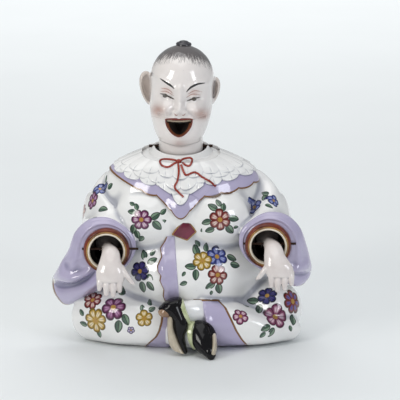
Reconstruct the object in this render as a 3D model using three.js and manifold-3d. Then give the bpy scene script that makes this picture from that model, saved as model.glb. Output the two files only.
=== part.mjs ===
// A seated porcelain nodding figure, about 200 mm tall, in millimetres, +Z up and facing -Y.
// The robed body, with its collar, sleeves, crossed legs and shoes, is one hollow casting.
// The head and both hands are castings of their own. They hang on iron pins and swing on them,
// each balanced by a stem that reaches down or back into the hollow body.

import * as THREE from "three";
import { mergeVertices } from "three/addons/utils/BufferGeometryUtils.js";
import Module from "manifold-3d";

const wasm = await Module();
wasm.setup();

// Driving dimensions
const neckAxisY = -2; // the neck stands a little in front of the middle of the base
const neckWellRadius = 16.8;
const nodPin = { y: neckAxisY, z: 129.2, radius: 1, length: 43 };
const handPinRadius = 0.8;
const pinGap = 0.3; // running gap round every pin
const cuffs = {
  right: { centre: [-49, -46, 68], side: -1, drop: 22.8 },
  left: { centre: [58, -46, 71.5], side: 1, drop: 11 },
};
// How far towards the thumb each wrist is set in its cuff, and how far the fingers lean further.
const handPose = { right: { shift: 2.7, lean: 0 }, left: { shift: -3.1, lean: -5 } };
const cuffOpening = 11;

// Small helpers for points and solids

const point = (xyz) => new THREE.Vector3(...xyz);
const degrees = THREE.MathUtils.degToRad;

// A closed skin over rows of points. Each row is a ring; the ends are closed by a fan to a tip,
// or the last row joins the first when loop is true.
function skin(rows, columns, pointAt, { loop = false, tips = [] } = {}) {
  const points = [];
  for (let row = 0; row < rows; row += 1)
    for (let column = 0; column < columns; column += 1) points.push(pointAt(row, column));
  const index = [];
  const at = (row, column) => (row % rows) * columns + (column % columns);
  for (let row = 0; row < (loop ? rows : rows - 1); row += 1)
    for (let column = 0; column < columns; column += 1) {
      const [a, b] = [at(row, column), at(row, column + 1)];
      const [c, d] = [at(row + 1, column + 1), at(row + 1, column)];
      index.push(a, b, c, a, c, d);
    }
  if (!loop)
    [0, rows - 1].forEach((row, end) => {
      const ring = points.slice(row * columns, (row + 1) * columns);
      const middle = ring.reduce((sum, p) => sum.add(p), new THREE.Vector3()).divideScalar(columns);
      const tip = points.push(tips[end] ?? middle) - 1;
      for (let column = 0; column < columns; column += 1) {
        const [a, b] = [at(row, column), at(row, column + 1)];
        index.push(...(end ? [a, b, tip] : [b, a, tip]));
      }
    });
  const geometry = new THREE.BufferGeometry().setFromPoints(points);
  return geometry.setIndex(index);
}

// The three.js geometry as a solid, with its faces turned outwards.
function solid(geometry) {
  for (const name of ["normal", "uv"]) geometry.deleteAttribute(name);
  const merged = mergeVertices(geometry, 1e-4);
  const make = (triVerts) =>
    new wasm.Manifold(
      new wasm.Mesh({ numProp: 3, vertProperties: merged.attributes.position.array, triVerts }),
    );
  const triangles = new Uint32Array(merged.index.array);
  const made = make(triangles);
  return made.volume() > 0 ? made : make(triangles.reverse());
}

const join = (solids) => solids.reduce((sum, next) => sum.add(next));

function meshOf(name, made, material) {
  const { vertProperties, triVerts } = made.getMesh();
  const geometry = new THREE.BufferGeometry();
  geometry.setAttribute("position", new THREE.BufferAttribute(vertProperties, 3));
  geometry.setIndex(new THREE.BufferAttribute(triVerts, 1));
  geometry.computeVertexNormals();
  const mesh = new THREE.Mesh(geometry, material);
  mesh.name = name;
  return mesh;
}

function ball(centre, radii, { columns = 20, rows = 12, turn = [0, 0, 0] } = {}) {
  const geometry = new THREE.SphereGeometry(1, columns, rows);
  geometry.scale(...radii);
  geometry.applyMatrix4(new THREE.Matrix4().makeRotationFromEuler(new THREE.Euler(...turn)));
  geometry.translate(...centre);
  return solid(geometry);
}

// A round bar from one point to another.
function bar(from, to, radius, columns = 12) {
  const [start, end] = [point(from), point(to)];
  const along = end.clone().sub(start);
  const geometry = new THREE.CylinderGeometry(radius, radius, along.length(), columns);
  const turn = new THREE.Quaternion().setFromUnitVectors(point([0, 1, 0]), along.clone().normalize());
  geometry.applyQuaternion(turn);
  geometry.translate(...start.add(end).divideScalar(2));
  return solid(geometry);
}

// A soft form lofted through sections. A section is a centre and its two half-axes u and v.
// Each end is rounded by its own depth, and folds is a ripple of that many waves round the form.
function loft(sections, { rows = 12, columns = 20, ends = [0, 0], folds = [0, 0, 0] } = {}) {
  const [at, u, v] = [0, 1, 2].map(
    (part) => new THREE.CatmullRomCurve3(sections.map((section) => point(section[part]))),
  );
  const domeRows = 2;
  const direction = (end) => at.getPoint(end ? 0.98 : 0.02).sub(at.getPoint(end)).normalize();
  const steps = [];
  const dome = (end) =>
    Array.from({ length: domeRows - 1 }, (_, k) => ({ t: end, rise: ((k + 1) / domeRows) * (Math.PI / 2) }));
  if (ends[0]) steps.push(...dome(0).reverse());
  for (let row = 0; row < rows; row += 1) steps.push({ t: row / (rows - 1), rise: 0 });
  if (ends[1]) steps.push(...dome(1));
  const [waves, height, phase] = folds;
  const outward = (end, rise) => direction(end).multiplyScalar(-ends[end] * Math.sin(rise));
  const pointAt = (row, column) => {
    const { t, rise } = steps[row];
    const angle = (2 * Math.PI * column) / columns;
    const reach = (1 + height * Math.sin(Math.PI * t) * Math.cos(waves * angle + phase)) * Math.cos(rise);
    const centre = at.getPoint(t);
    if (rise) centre.add(outward(t, rise));
    return centre
      .addScaledVector(u.getPoint(t), reach * Math.cos(angle))
      .addScaledVector(v.getPoint(t), reach * Math.sin(angle));
  };
  const tips = [0, 1].map((end) => at.getPoint(end).add(outward(end, Math.PI / 2)));
  return solid(skin(steps.length, columns, pointAt, { tips }));
}

// A ring turned on the y axis about its centre, from a closed profile of [radius, y] pairs.
function turned(centre, profile, columns) {
  const geometry = new THREE.LatheGeometry(
    [...profile, profile[0]].map(([radius, y]) => new THREE.Vector2(radius, y)),
    columns,
  );
  geometry.translate(...centre);
  return solid(geometry);
}

// The robed trunk. Its radius about the neck's axis is known for every angle and height,
// so the collar, the borders and the bow can lie on it.

// Height, half width, half depth, and how far behind the neck's axis the middle lies.
const trunkProfile = [
  [0, 54, 42, 8],
  [9, 60, 46, 8],
  [25, 61, 47, 8],
  [48, 58, 44.5, 6.5],
  [70, 55, 41, 4],
  [90, 53.5, 37, 0],
  [103, 52.5, 33, -2],
  [111, 50, 29.5, -2],
  [118, 43, 26, -1.5],
  [123, 32, 23.5, -1],
  [126.5, 23, 21, 0],
  [128.5, 19.8, 19.8, 0],
  [130.2, 19.2, 19.2, 0],
];

function profileAt(z) {
  const last = trunkProfile.length - 1;
  const next = Math.min(last, Math.max(1, trunkProfile.findIndex((row) => row[0] >= z)));
  const [before, a, b, after] = [-2, -1, 0, 1].map(
    (step) => trunkProfile[Math.min(last, Math.max(0, next + step))],
  );
  const share = (z - a[0]) / (b[0] - a[0]);
  return [1, 2, 3].map((part) => {
    const slopeA = ((b[part] - before[part]) / (b[0] - before[0])) * (b[0] - a[0]);
    const slopeB = ((after[part] - a[part]) / (after[0] - a[0])) * (b[0] - a[0]);
    const [s2, s3] = [share ** 2, share ** 3];
    return (
      (2 * s3 - 3 * s2 + 1) * a[part] + (s3 - 2 * s2 + share) * slopeA +
      (3 * s2 - 2 * s3) * b[part] + (s3 - s2) * slopeB
    );
  });
}

// Bulges of the body under the robe, measured from the neck's axis.
const bulges = [
  { centre: [-22, -24, 85], radii: [22, 18, 18.5] }, // right breast
  { centre: [24, -24, 85.5], radii: [22, 18, 18.5] }, // left breast
  { centre: [1, -28, 92], radii: [11, 12, 13] }, // between them, under the collar's point
  { centre: [3, -9, 47], radii: [50, 39, 29] }, // belly
];

// Angle zero is the front, and a positive angle turns towards +X.
function trunkRadius(angle, z) {
  const [width, depth, back] = profileAt(z);
  const [dx, dy] = [Math.sin(angle), -Math.cos(angle)];
  const reach = (centre, radii) => {
    const a = (dx / radii[0]) ** 2 + (dy / radii[1]) ** 2;
    const b = (dx * centre[0]) / radii[0] ** 2 + (dy * centre[1]) / radii[1] ** 2;
    const rise = radii[2] ? ((z - centre[2]) / radii[2]) ** 2 : 0;
    const c = (centre[0] / radii[0]) ** 2 + (centre[1] / radii[1]) ** 2 + rise - 1;
    const inside = b * b - a * c;
    return inside > 0 ? Math.max(0, (b + Math.sqrt(inside)) / a) : 0;
  };
  const reaches = [
    reach([0, back], [width, depth]),
    ...bulges.map(({ centre, radii }) => reach(centre, radii)),
  ];
  const blend = 14;
  return reaches.reduce((sum, r) => sum + r ** blend, 0) ** (1 / blend);
}

function onTrunk(angle, z, lift = 0) {
  const radius = trunkRadius(angle, z) + lift;
  return point([radius * Math.sin(angle), neckAxisY - radius * Math.cos(angle), z]);
}

// The point of the trunk's front at a given x and height.
function onFront(x, z, lift = 0) {
  let angle = 0;
  for (let pass = 0; pass < 6; pass += 1) angle = Math.asin(x / trunkRadius(angle, z));
  return onTrunk(angle, z, lift);
}

function trunk() {
  const heights = [0, 5, 15, 29, 43, 56, 68, 79, 90, 101, 112, 120, 126.5, 130.2];
  const columns = 26;
  const pointAt = (row, column) => onTrunk((2 * Math.PI * column) / columns, heights[row]);
  return solid(skin(heights.length, columns, pointAt));
}

// The hollow inside the trunk, from just above the base to the neck, and a vent in the base.
function hollow() {
  const profile = [[0, 5], [38, 5], [46, 22], [47, 45], [43, 70], [41, 94], [30, 106], [0, 108]];
  const room = new THREE.LatheGeometry(profile.map(([radius, z]) => new THREE.Vector2(radius, z)), 16);
  room.scale(1, 1, 0.68);
  room.rotateX(Math.PI / 2);
  room.translate(0, neckAxisY + 4, 0);
  const well = new THREE.CylinderGeometry(neckWellRadius, neckWellRadius, 40, 20);
  well.rotateX(Math.PI / 2);
  well.translate(0, neckAxisY, 120);
  const vent = bar([0, 22, -5], [0, 22, 12], 7, 16);
  return join([solid(room), solid(well), vent]);
}

// The collar and cape: layers that lie on the trunk, each with a scalloped edge

// A gentle point at the front of an edge, as deep as said and about as wide as the angle,
// and the rise of an edge towards the right and the left shoulder.
const frontPoint = (angle, depth, width) => -depth * Math.exp(-((angle / degrees(width)) ** 2));
const shoulderRise = (angle, right, left) => (angle < 0 ? right : left) * Math.abs(Math.sin(angle)) ** 3;

// The collar is one ring of cloth laid on the trunk. Going down it, each tier of petals stands
// out over the next by a step, and the tiers' lobes are staggered.
const collarTop = { z: 125.5, lift: 1 };
const petalTiers = [
  {
    edge: (angle) => 113 + shoulderRise(angle, 8, 5) + frontPoint(angle, 5, 20),
    lift: 3.7,
    lobe: 3,
    shift: 0.5,
  },
  {
    edge: (angle) => 108.6 + shoulderRise(angle, 8, 5) + frontPoint(angle, 10, 13),
    lift: 2.8,
    lobe: 4,
    shift: 0,
  },
];
const cape = {
  edge: (angle) => 101 + shoulderRise(angle, 13, 5) + frontPoint(angle, 14, 14),
  lift: 1.6,
  lobe: 0,
  shift: 0,
};
const petals = 14; // lobes in each tier
const petalFacets = 4; // facets across one lobe

function collar() {
  const columns = petals * petalFacets;
  const tiers = [...petalTiers, cape];
  const rows = tiers.length * 2 + 2;
  const pointAt = (row, column) => {
    const turn = (2 * Math.PI * column) / columns;
    const angle = turn > Math.PI ? turn - 2 * Math.PI : turn;
    if (row === 0) return onTrunk(angle, collarTop.z, collarTop.lift);
    if (row === rows - 1) return onTrunk(angle, collarTop.z - 3, -3);
    const { edge, lobe, shift } = tiers[Math.floor((row - 1) / 2)];
    const under = tiers[Math.floor(row / 2)] ?? { lift: -3 };
    const wave = Math.abs(Math.cos((petals * angle) / 2 + shift * Math.PI));
    const { lift } = row % 2 ? tiers[Math.floor((row - 1) / 2)] : under;
    return onTrunk(angle, edge(angle) - lobe * (wave - 0.6), lift);
  };
  return solid(skin(rows, columns, pointAt, { loop: true }));
}

// The scalloped border that runs down the front of the robe
function frontBorder() {
  const [rows, columns] = [12, 7];
  const [highest, lowest] = [74, 26];
  const pointAt = (row, column) => {
    const share = row / (rows - 1);
    const z = highest + (lowest - highest) * share;
    const outer = -13 - 2 * Math.sin(Math.PI * share) - 1.2 * Math.abs(Math.sin(3.5 * Math.PI * share));
    const inner = -4 + 4 * share;
    const across = [0, 0, 0.35, 0.75, 1, 1, 0.5][column];
    const lift = [-3, 1.2, 1.8, 1.5, 0.4, -3, -3.5][column];
    return onFront(outer + (inner - outer) * across, z, lift);
  };
  return solid(skin(rows, columns, pointAt));
}

// The five-sided clasp under the collar's point
function clasp() {
  const corners = [[-0.5, 6.5], [-7.6, -3.7], [2.9, -7.9], [9.4, -1.6], [5, 5.5]];
  const shape = new THREE.Shape(corners.map(([x, z]) => new THREE.Vector2(x, z)));
  const geometry = new THREE.ExtrudeGeometry(shape, {
    depth: 9,
    bevelThickness: 1.2,
    bevelSize: 1,
    bevelSegments: 1,
  });
  geometry.rotateX(Math.PI / 2);
  geometry.translate(1.5, onFront(1.5, 81).y + 7.4, 81);
  return solid(geometry);
}

// How far the collar stands out from the trunk at an angle and height.
function collarLift(angle, z) {
  const tier = petalTiers.find(({ edge }) => z > edge(angle)) ?? cape;
  return z < cape.edge(angle) ? 0 : tier.lift;
}

// The narrow ribbon tied in a bow under the chin: two loops and two tails, each a route of
// [x, z] points on the collar.
const ribbonThickness = 1.2;
const ribbonRoutes = [
  [[-1.7, 123.8], [-5, 125.4], [-10, 125.6], [-13.6, 123.6], [-11.5, 120.8], [-6, 121.4], [-2.1, 122.6]],
  [[-1.1, 123.7], [3, 125.4], [8, 125.8], [7.4, 120.8], [3, 121.4], [-1.3, 122.4]],
  [[-1.8, 122.9], [-1.6, 116], [-3.5, 109.5], [-0.5, 104.5], [2, 100]],
  [[-0.7, 122.9], [0.8, 116.5], [4, 112], [9.5, 112.3], [15, 107], [22.5, 102]],
];

function bow() {
  const ribbon = (route) => {
    const points = route.map(([x, z]) => onFront(x, z, collarLift(x / 32, z) + ribbonThickness));
    const corners = [0, 1, 2].map((k) => {
      const angle = (2 * Math.PI * k) / 3;
      return new THREE.Vector2(Math.cos(angle), Math.sin(angle)).multiplyScalar(ribbonThickness);
    });
    const extrudePath = new THREE.CatmullRomCurve3(points);
    const options = { steps: route.length, extrudePath, bevelEnabled: false };
    return solid(new THREE.ExtrudeGeometry(new THREE.Shape(corners), options));
  };
  const knot = ball(onFront(-1.5, 123.2, 4).toArray(), [2.1, 1.7, 2], { columns: 6, rows: 4 });
  return join([...ribbonRoutes.map(ribbon), knot]);
}

// Wide sleeves. Each flares from the shoulder to a wide mouth, whose lining is dished round the
// cuff and drapes low on the outside. All is given for the left side, and mirrored for the right.

// The arm under the sleeve: middles, the two half-axes u and v, and how far each middle follows
// a cuff that is nearer to the body.
const armReach = 58; // how far out the cuff is for which the middles are given
const arm = [
  { at: [26, 2, 101], u: [-7, 0, -15], v: [0, 17, 0], follows: 0 },
  { at: [44, 2, 93], u: [-9, 1, -17], v: [3, 18, 3], follows: 0 },
  { at: [57, -3, 81], u: [-2, 11, -20], v: [13, 10, 5], follows: 0.5 },
  { at: [63, -16, 70], u: [10, 14, -23], v: [13, 1, 6.5], follows: 1 },
];

// The mouth about the cuff's middle: bearing in degrees from straight outwards, reach, how far it
// lies back, and its share in the drape, which hangs outwards, down and back.
const mouthOutline = [
  [0, 26, 12, 0],
  [30, 24.5, 9, 0],
  [60, 24, 7, 0],
  [90, 22.5, 6, 0],
  [120, 20.5, 6, 0],
  [150, 20.5, 5, 0],
  [180, 19, 4, 0],
  [215, 17, 4, 0],
  [255, 17.5, 7, 0],
  [285, 20, 9.5, 0.3],
  [305, 24, 9, 0.95],
  [318, 25.5, 11, 1],
  [330, 26, 12.5, 0.8],
  [343, 26, 13, 0.34],
];
const drapeBack = 0.88; // how far the drape goes back for each mm that it hangs
const mouthSlope = 0.25; // how much lower the mouth lies for each mm that it goes back
const sleeveTwist = degrees(60); // from the mouth's bearings to the arm's

function sleeve({ centre, side, drop }) {
  const columns = 16;
  const corners = mouthOutline.map(([bearing, reach, back, share]) => {
    const [radius, depth] = [reach + drop * share, back + drapeBack * drop * share];
    const [outwards, up] = [Math.cos(degrees(bearing)), Math.sin(degrees(bearing))];
    return point([radius * outwards, depth, radius * up - mouthSlope * depth]);
  });
  const mouth = new THREE.CatmullRomCurve3(corners, true, "catmullrom");
  const middle = point([centre[0] * side, centre[1], centre[2]]);
  const inner = { radius: 15.2, depth: 0.5 }; // where the lining meets the cuff
  const hidden = { radius: 10, depth: 6 }; // where the form closes behind the cuff
  const [outerRows, roll] = [7, 5.3];
  const pointAt = (row, column) => {
    const offset = mouth.getPoint(column / columns);
    const bearing = Math.atan2(offset.z, offset.x);
    const rim = offset.clone().add(middle);
    const onCuff = ({ radius, depth }) =>
      point([radius * Math.cos(bearing), depth, radius * Math.sin(bearing)]).add(middle);
    if (row === outerRows + 2) return onCuff(hidden);
    if (row === outerRows + 1) return onCuff(inner);
    if (row === outerRows) {
      const half = rim.clone().lerp(onCuff(inner), 0.5);
      half.y -= Math.min(roll, 0.24 * rim.distanceTo(onCuff(inner)));
      return half;
    }
    const turn = bearing + sleeveTwist;
    const line = arm.map(({ at, u, v, follows }) =>
      point([at[0] + follows * (middle.x - armReach), at[1], at[2]])
        .addScaledVector(point(u), Math.cos(turn))
        .addScaledVector(point(v), Math.sin(turn)),
    );
    return new THREE.CatmullRomCurve3([...line, rim], false, "catmullrom").getPoint(row / (outerRows - 1));
  };
  const geometry = skin(outerRows + 3, columns, pointAt);
  geometry.scale(side, 1, 1);
  const cuff = turned(centre, [[14, 15], [16.6, 3], [16, -0.5], [14, -3.6], [11.2, -4], [11, 15]], 16);
  return join([solid(geometry), cuff]);
}

// The room inside each sleeve where the hand's stem swings: round at the cuff, and tall and
// narrow behind it.
function sleeveRoom({ centre }) {
  const front = turned(centre, [[0, -10], [cuffOpening, -10], [cuffOpening, 9], [0, 9]], 16);
  const back = turned([0, 0, 0], [[0, 5], [12, 7], [13, 14], [13, 28], [7, 34], [0, 35]], 16);
  return join([front, back.scale([0.7, 1, 1]).translate(centre)]);
}

// Crossed legs in wide trousers. Each leg is a thigh and a shin that meet at the knee.
function legs() {
  const thigh = (s, knee) =>
    loft(
      [
        [[26 * s, 4, 20], [0, 0, 21], [8 * s, 24, 0]],
        [[46 * s, -6, 20], [0, 0, 20.5], [10 * s, 22, 0]],
        [[knee[0], knee[1], knee[2]], [0, 0, 18.5], [11 * s, 17, 0]],
      ],
      { rows: 3, columns: 12, ends: [10, 13] },
    );
  const right = loft(
    [
      [[-58, -24, 17], [0, 0, 18], [-12, -10, 0]],
      [[-42, -33, 17], [0, 0, 18], [-5, -15, 0]],
      [[-24, -37, 16], [0, 0, 17], [-2, -15, 0]],
      [[-9, -40, 13.5], [0, 0, 14], [-1, -12, 0]],
    ],
    { rows: 6, columns: 14, ends: [12, 5], folds: [5, 0.05, 1] },
  );
  const left = loft(
    [
      [[66, -28, 10], [0, 0, 10], [11, -9, 0]],
      [[51, -35, 12], [0, 0, 12], [6, -14.5, 0]],
      [[36, -38, 14.5], [1, 0, 15], [3, -15, 0]],
      [[22, -41, 16.5], [-4, 0, 16.5], [1, -13, 0]],
    ],
    { rows: 6, columns: 14, ends: [12, 1], folds: [5, 0.05, 0] },
  );
  return join([thigh(-1, [-56, -20, 18]), thigh(1, [67, -20, 19]), right, left]);
}

// The left foot lies over the right one, its sole turned to the figure's right and its toe down.
function upperFoot() {
  const ankle = loft(
    [
      [[26, -44, 24], [0, 0, 7], [0, -7, 0]],
      [[13, -50, 25], [0, 0, 7], [0, -7, 0]],
      [[1, -52, 26], [0, 0, 8], [0, -7, 0]],
    ],
    { rows: 3, columns: 8, ends: [0, 3] },
  );
  const shoe = loft(
    [
      [[-4, -54, 33], [5.5, 1, 1.5], [1, -6.5, 0]],
      [[-1, -55, 26], [7.5, 1, 2], [1, -7, 0]],
      [[1, -56, 16], [7, 1, 1], [1, -6.5, 0]],
      [[1.5, -58, 8], [4.5, 1, 1], [1, -5.5, 0]],
      [[2, -60, 3], [2.2, 0, 0.5], [0.5, -3.6, 0]],
    ],
    { rows: 6, columns: 9, ends: [3, 2] },
  );
  const heel = ball([-10.5, -56, 28.5], [4.6, 5, 4.6], { columns: 8, rows: 5 });
  const sole = loft(
    [
      [[-9.5, -55.5, 27], [1.6, 0, 0.5], [0, -6.4, 0]],
      [[-6, -56.5, 18], [1.8, 0, 0.8], [0, -6.2, 0]],
      [[-3.4, -58, 9], [1.8, 0, 0.8], [0, -5.8, 0]],
      [[0, -60.5, 2.6], [1.6, 0, 0.6], [0, -3.8, 0]],
    ],
    { rows: 4, columns: 6, ends: [1.5, 1] },
  );
  return join([ankle, shoe, heel, sole]);
}

function lowerFoot() {
  const ankle = loft(
    [
      [[-10, -44, 11], [0, 0, 9], [0, -8.5, 0]],
      [[2, -50, 11], [0, 0, 9], [-3, -8, 0]],
      [[11, -56, 11.5], [0, 0, 9.5], [-4.5, -7.5, 0]],
    ],
    { rows: 3, columns: 8, ends: [0, 3] },
  );
  const shoe = loft(
    [
      [[9, -53, 12.5], [6, 4, 0], [0, 2, 10]],
      [[15, -60, 11.5], [8.5, 4, 0], [0, 2, 10.5]],
      [[19, -67, 8.5], [7, 3, 0], [0, 2, 8]],
      [[20.5, -72, 5], [4.5, 1.5, 0], [0, 0, 4.6]],
    ],
    { rows: 6, columns: 9, ends: [4, 2.5] },
  );
  return join([ankle, shoe]);
}

// The neck's pin lies in two open notches of the collar's rim, and each hand's pin
// goes through both sides of its cuff.
const nodPinEnds = (grow = 0) =>
  [-1, 1].map((s) => [s * (nodPin.length / 2 + grow), nodPin.y, nodPin.z]);

function pinNotch() {
  const geometry = new THREE.BoxGeometry(2 * (nodPin.length / 2 + 2), 2 * (nodPin.radius + pinGap), 8);
  geometry.translate(0, nodPin.y, nodPin.z + 4);
  return join([solid(geometry), bar(...nodPinEnds(2), nodPin.radius + pinGap, 8)]);
}

// One end of each hand's pin is level with its cuff, and the other stands out a little.
const handPinEnds = ({ centre: [x, y, z], side }) => {
  const reach = side < 0 ? [16.4, 21] : [16.4, 18.5];
  return [[x - reach[0], y + 1, z + 1], [x + reach[1], y + 1, z + 1]];
};

// The rim of the neck dips to the front, under the chin.
function neckline() {
  const slope = degrees(10);
  const geometry = new THREE.BoxGeometry(60, 60, 12);
  geometry.translate(0, -30, 6);
  geometry.rotateX(slope);
  geometry.translate(0, neckAxisY, trunkProfile.at(-1)[0]);
  return solid(geometry);
}

function bodySolid() {
  const parts = [trunk(), collar(), frontBorder(), clasp(), bow(), legs(), upperFoot(), lowerFoot()];
  parts.push(sleeve(cuffs.right), sleeve(cuffs.left));
  const rooms = [hollow(), sleeveRoom(cuffs.right), sleeveRoom(cuffs.left), pinNotch(), neckline()];
  const holes = Object.values(cuffs).map((cuff) => bar(...handPinEnds(cuff), handPinRadius + pinGap, 8));
  const floor = new THREE.BoxGeometry(400, 400, 40);
  floor.translate(0, 0, -20);
  return join(parts).subtract(join([...rooms, ...holes, solid(floor)]));
}

// The head. Its radius about its own upright axis is known for every angle and height,
// and the whole head leans and turns a little on its neck.

const headLean = degrees(2.4);
const headTurn = degrees(-3);
const headShift = -1; // how far the head is set to the side of its neck
const headProfile = [
  [131.8, 4, 6, -9],
  [134, 12, 13, -6],
  [137, 15, 17.6, -3.4],
  [142, 17.5, 20.4, -1.8],
  [148, 19.4, 22, -1],
  [155, 20.8, 22.8, -0.5],
  [162, 21.1, 23, 0],
  [169, 21.1, 23.2, 0],
  [179, 21.3, 23.4, 0],
  [186, 19, 21.4, 0],
  [191.5, 15.2, 17.4, 0],
  [195.5, 10, 11.8, 0],
  [198, 4.3, 5, 0],
];

// Soft swellings and hollows of the face: angle from the front, height, their spreads, and rise.
const features = [
  { angle: 0, z: 160, spread: [0.16, 4.2], rise: 4.6 }, // nose
  { angle: 0, z: 167, spread: [0.13, 5], rise: 1.8 }, // bridge
  { angle: 0.62, z: 157.5, spread: [0.28, 5.5], rise: 2.2, pair: true }, // cheeks
  { angle: 0.42, z: 168, spread: [0.2, 2.8], rise: -1.5, pair: true }, // eye hollows
  { angle: 0.4, z: 174.5, spread: [0.4, 4.5], rise: 0.9, pair: true }, // brows
  { angle: 0, z: 136.5, spread: [0.4, 3.6], rise: 1.6 }, // chin
];

function headRadius(angle, z) {
  const last = headProfile.length - 1;
  const next = Math.min(last, Math.max(1, headProfile.findIndex((row) => row[0] >= z)));
  const [a, b] = [headProfile[next - 1], headProfile[next]];
  const share = (z - a[0]) / (b[0] - a[0]);
  const [width, depth, forward] = [1, 2, 3].map((part) => a[part] + (b[part] - a[part]) * share);
  const [dx, dy] = [Math.sin(angle), -Math.cos(angle)];
  const p = (dx / width) ** 2 + (dy / depth) ** 2;
  const q = (dy * forward) / depth ** 2;
  const base = (q + Math.sqrt(Math.max(0, q * q - p * ((forward / depth) ** 2 - 1)))) / p;
  const swell = features.reduce((sum, { angle: middle, z: height, spread, rise, pair }) => {
    const off = (pair ? Math.abs(angle) : angle) - middle;
    return sum + rise * Math.exp(-((off / spread[0]) ** 2) - ((z - height) / spread[1]) ** 2);
  }, 0);
  return base + swell;
}

// Leans and turns a solid about the middle of the neck.
function posedHead(made) {
  const toNeck = [0, neckAxisY, nodPin.z];
  const move = new THREE.Matrix4()
    .makeTranslation(toNeck[0] + headShift, toNeck[1], toNeck[2])
    .multiply(new THREE.Matrix4().makeRotationY(headLean))
    .multiply(new THREE.Matrix4().makeRotationZ(headTurn))
    .multiply(new THREE.Matrix4().makeTranslation(...toNeck.map((part) => -part)));
  return made.transform(move.toArray());
}

function skull() {
  const heights = [
    131.8, 134, 137, 141, 146, 151, 155, 158, 161, 164, 167, 170.5, 175, 181, 187, 192, 195.5, 197.5,
  ];
  const columns = 22;
  const pointAt = (row, column) => {
    const turn = (2 * Math.PI * column) / columns;
    const angle = turn > Math.PI ? turn - 2 * Math.PI : turn;
    const radius = headRadius(angle, heights[row]);
    return point([radius * Math.sin(angle), neckAxisY - radius * Math.cos(angle), heights[row]]);
  };
  const tips = [point([0, neckAxisY - 9, 131.3]), point([0, neckAxisY, 198.7])];
  return solid(skin(heights.length, columns, pointAt, { tips }));
}

// The figure's right ear is the larger one.
const ears = [
  { side: -1, reach: 23.3, width: 5, height: 12 },
  { side: 1, reach: 20.8, width: 4, height: 10 },
];

function ear({ side, reach, width, height }) {
  const turn = [0.15, 0.22 * side, -0.5 * side];
  const shell = ball([reach * side, 2, 167], [width, 3.2, height], { columns: 8, rows: 6, turn });
  const dishRadii = [width * 0.52, 2.6, height * 0.62];
  const dish = ball([(reach + 2) * side, -1.2, 168.5], dishRadii, { columns: 6, rows: 5, turn });
  return shell.subtract(dish);
}

// The laughing mouth: flat above and round below, open to the hollow inside the head.
function mouth() {
  const [rows, columns] = [2, 14];
  const pointAt = (row, column) => {
    const angle = (2 * Math.PI * column) / columns;
    const lift = Math.sin(angle) > 0 ? 3.4 : 8.8;
    return point([8 * Math.cos(angle), neckAxisY - 27 + 17 * row, 150.5 + lift * Math.sin(angle)]);
  };
  return solid(skin(rows, columns, pointAt));
}

function headHollow() {
  return ball([0, neckAxisY - 0.5, 165], [17.8, 19.8, 29], { columns: 10, rows: 6 });
}

const stem = { top: 137, bottom: 96, radius: 15, lowRadius: 12.6, socket: 6.5, socketTop: 112 };
const slug = { radius: 17, length: 36, back: 0.18 };

function headSolid() {
  const topknot = join([
    ball([0, neckAxisY + 3, 198], [5.2, 5, 2.6], { columns: 10, rows: 5 }),
    ball([0, neckAxisY + 3, 199.8], [2.8, 2.6, 1.7], { columns: 6, rows: 4 }),
  ]);
  const face = join([skull(), ...ears.map(ear), topknot]).subtract(mouth());
  const neck = new THREE.LatheGeometry(
    [
      [0, stem.top], [stem.radius - 0.5, stem.top], [stem.radius, 133], [stem.radius, 127],
      [stem.lowRadius, 122], [stem.lowRadius, stem.bottom], [0, stem.bottom],
    ].map(([radius, z]) => new THREE.Vector2(radius, z)),
    16,
  );
  neck.rotateX(Math.PI / 2);
  neck.translate(0, neckAxisY, 0);
  const socket = bar([0, neckAxisY, stem.bottom - 2], [0, neckAxisY, stem.socketTop], stem.socket, 12);
  const pinHole = bar(...nodPinEnds(2), nodPin.radius + pinGap, 8);
  return join([posedHead(face), solid(neck)]).subtract(join([posedHead(headHollow()), socket, pinHole]));
}

// A metal slug that fills the bottom of the stem and balances the head.
function headWeight() {
  const low = stem.bottom - pinGap;
  return join([
    bar([0, neckAxisY + slug.back, low - slug.length], [0, neckAxisY + slug.back, low], slug.radius, 18),
    bar([0, neckAxisY, low - 1], [0, neckAxisY, stem.socketTop - 1], stem.socket - pinGap, 10),
  ]);
}

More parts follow.
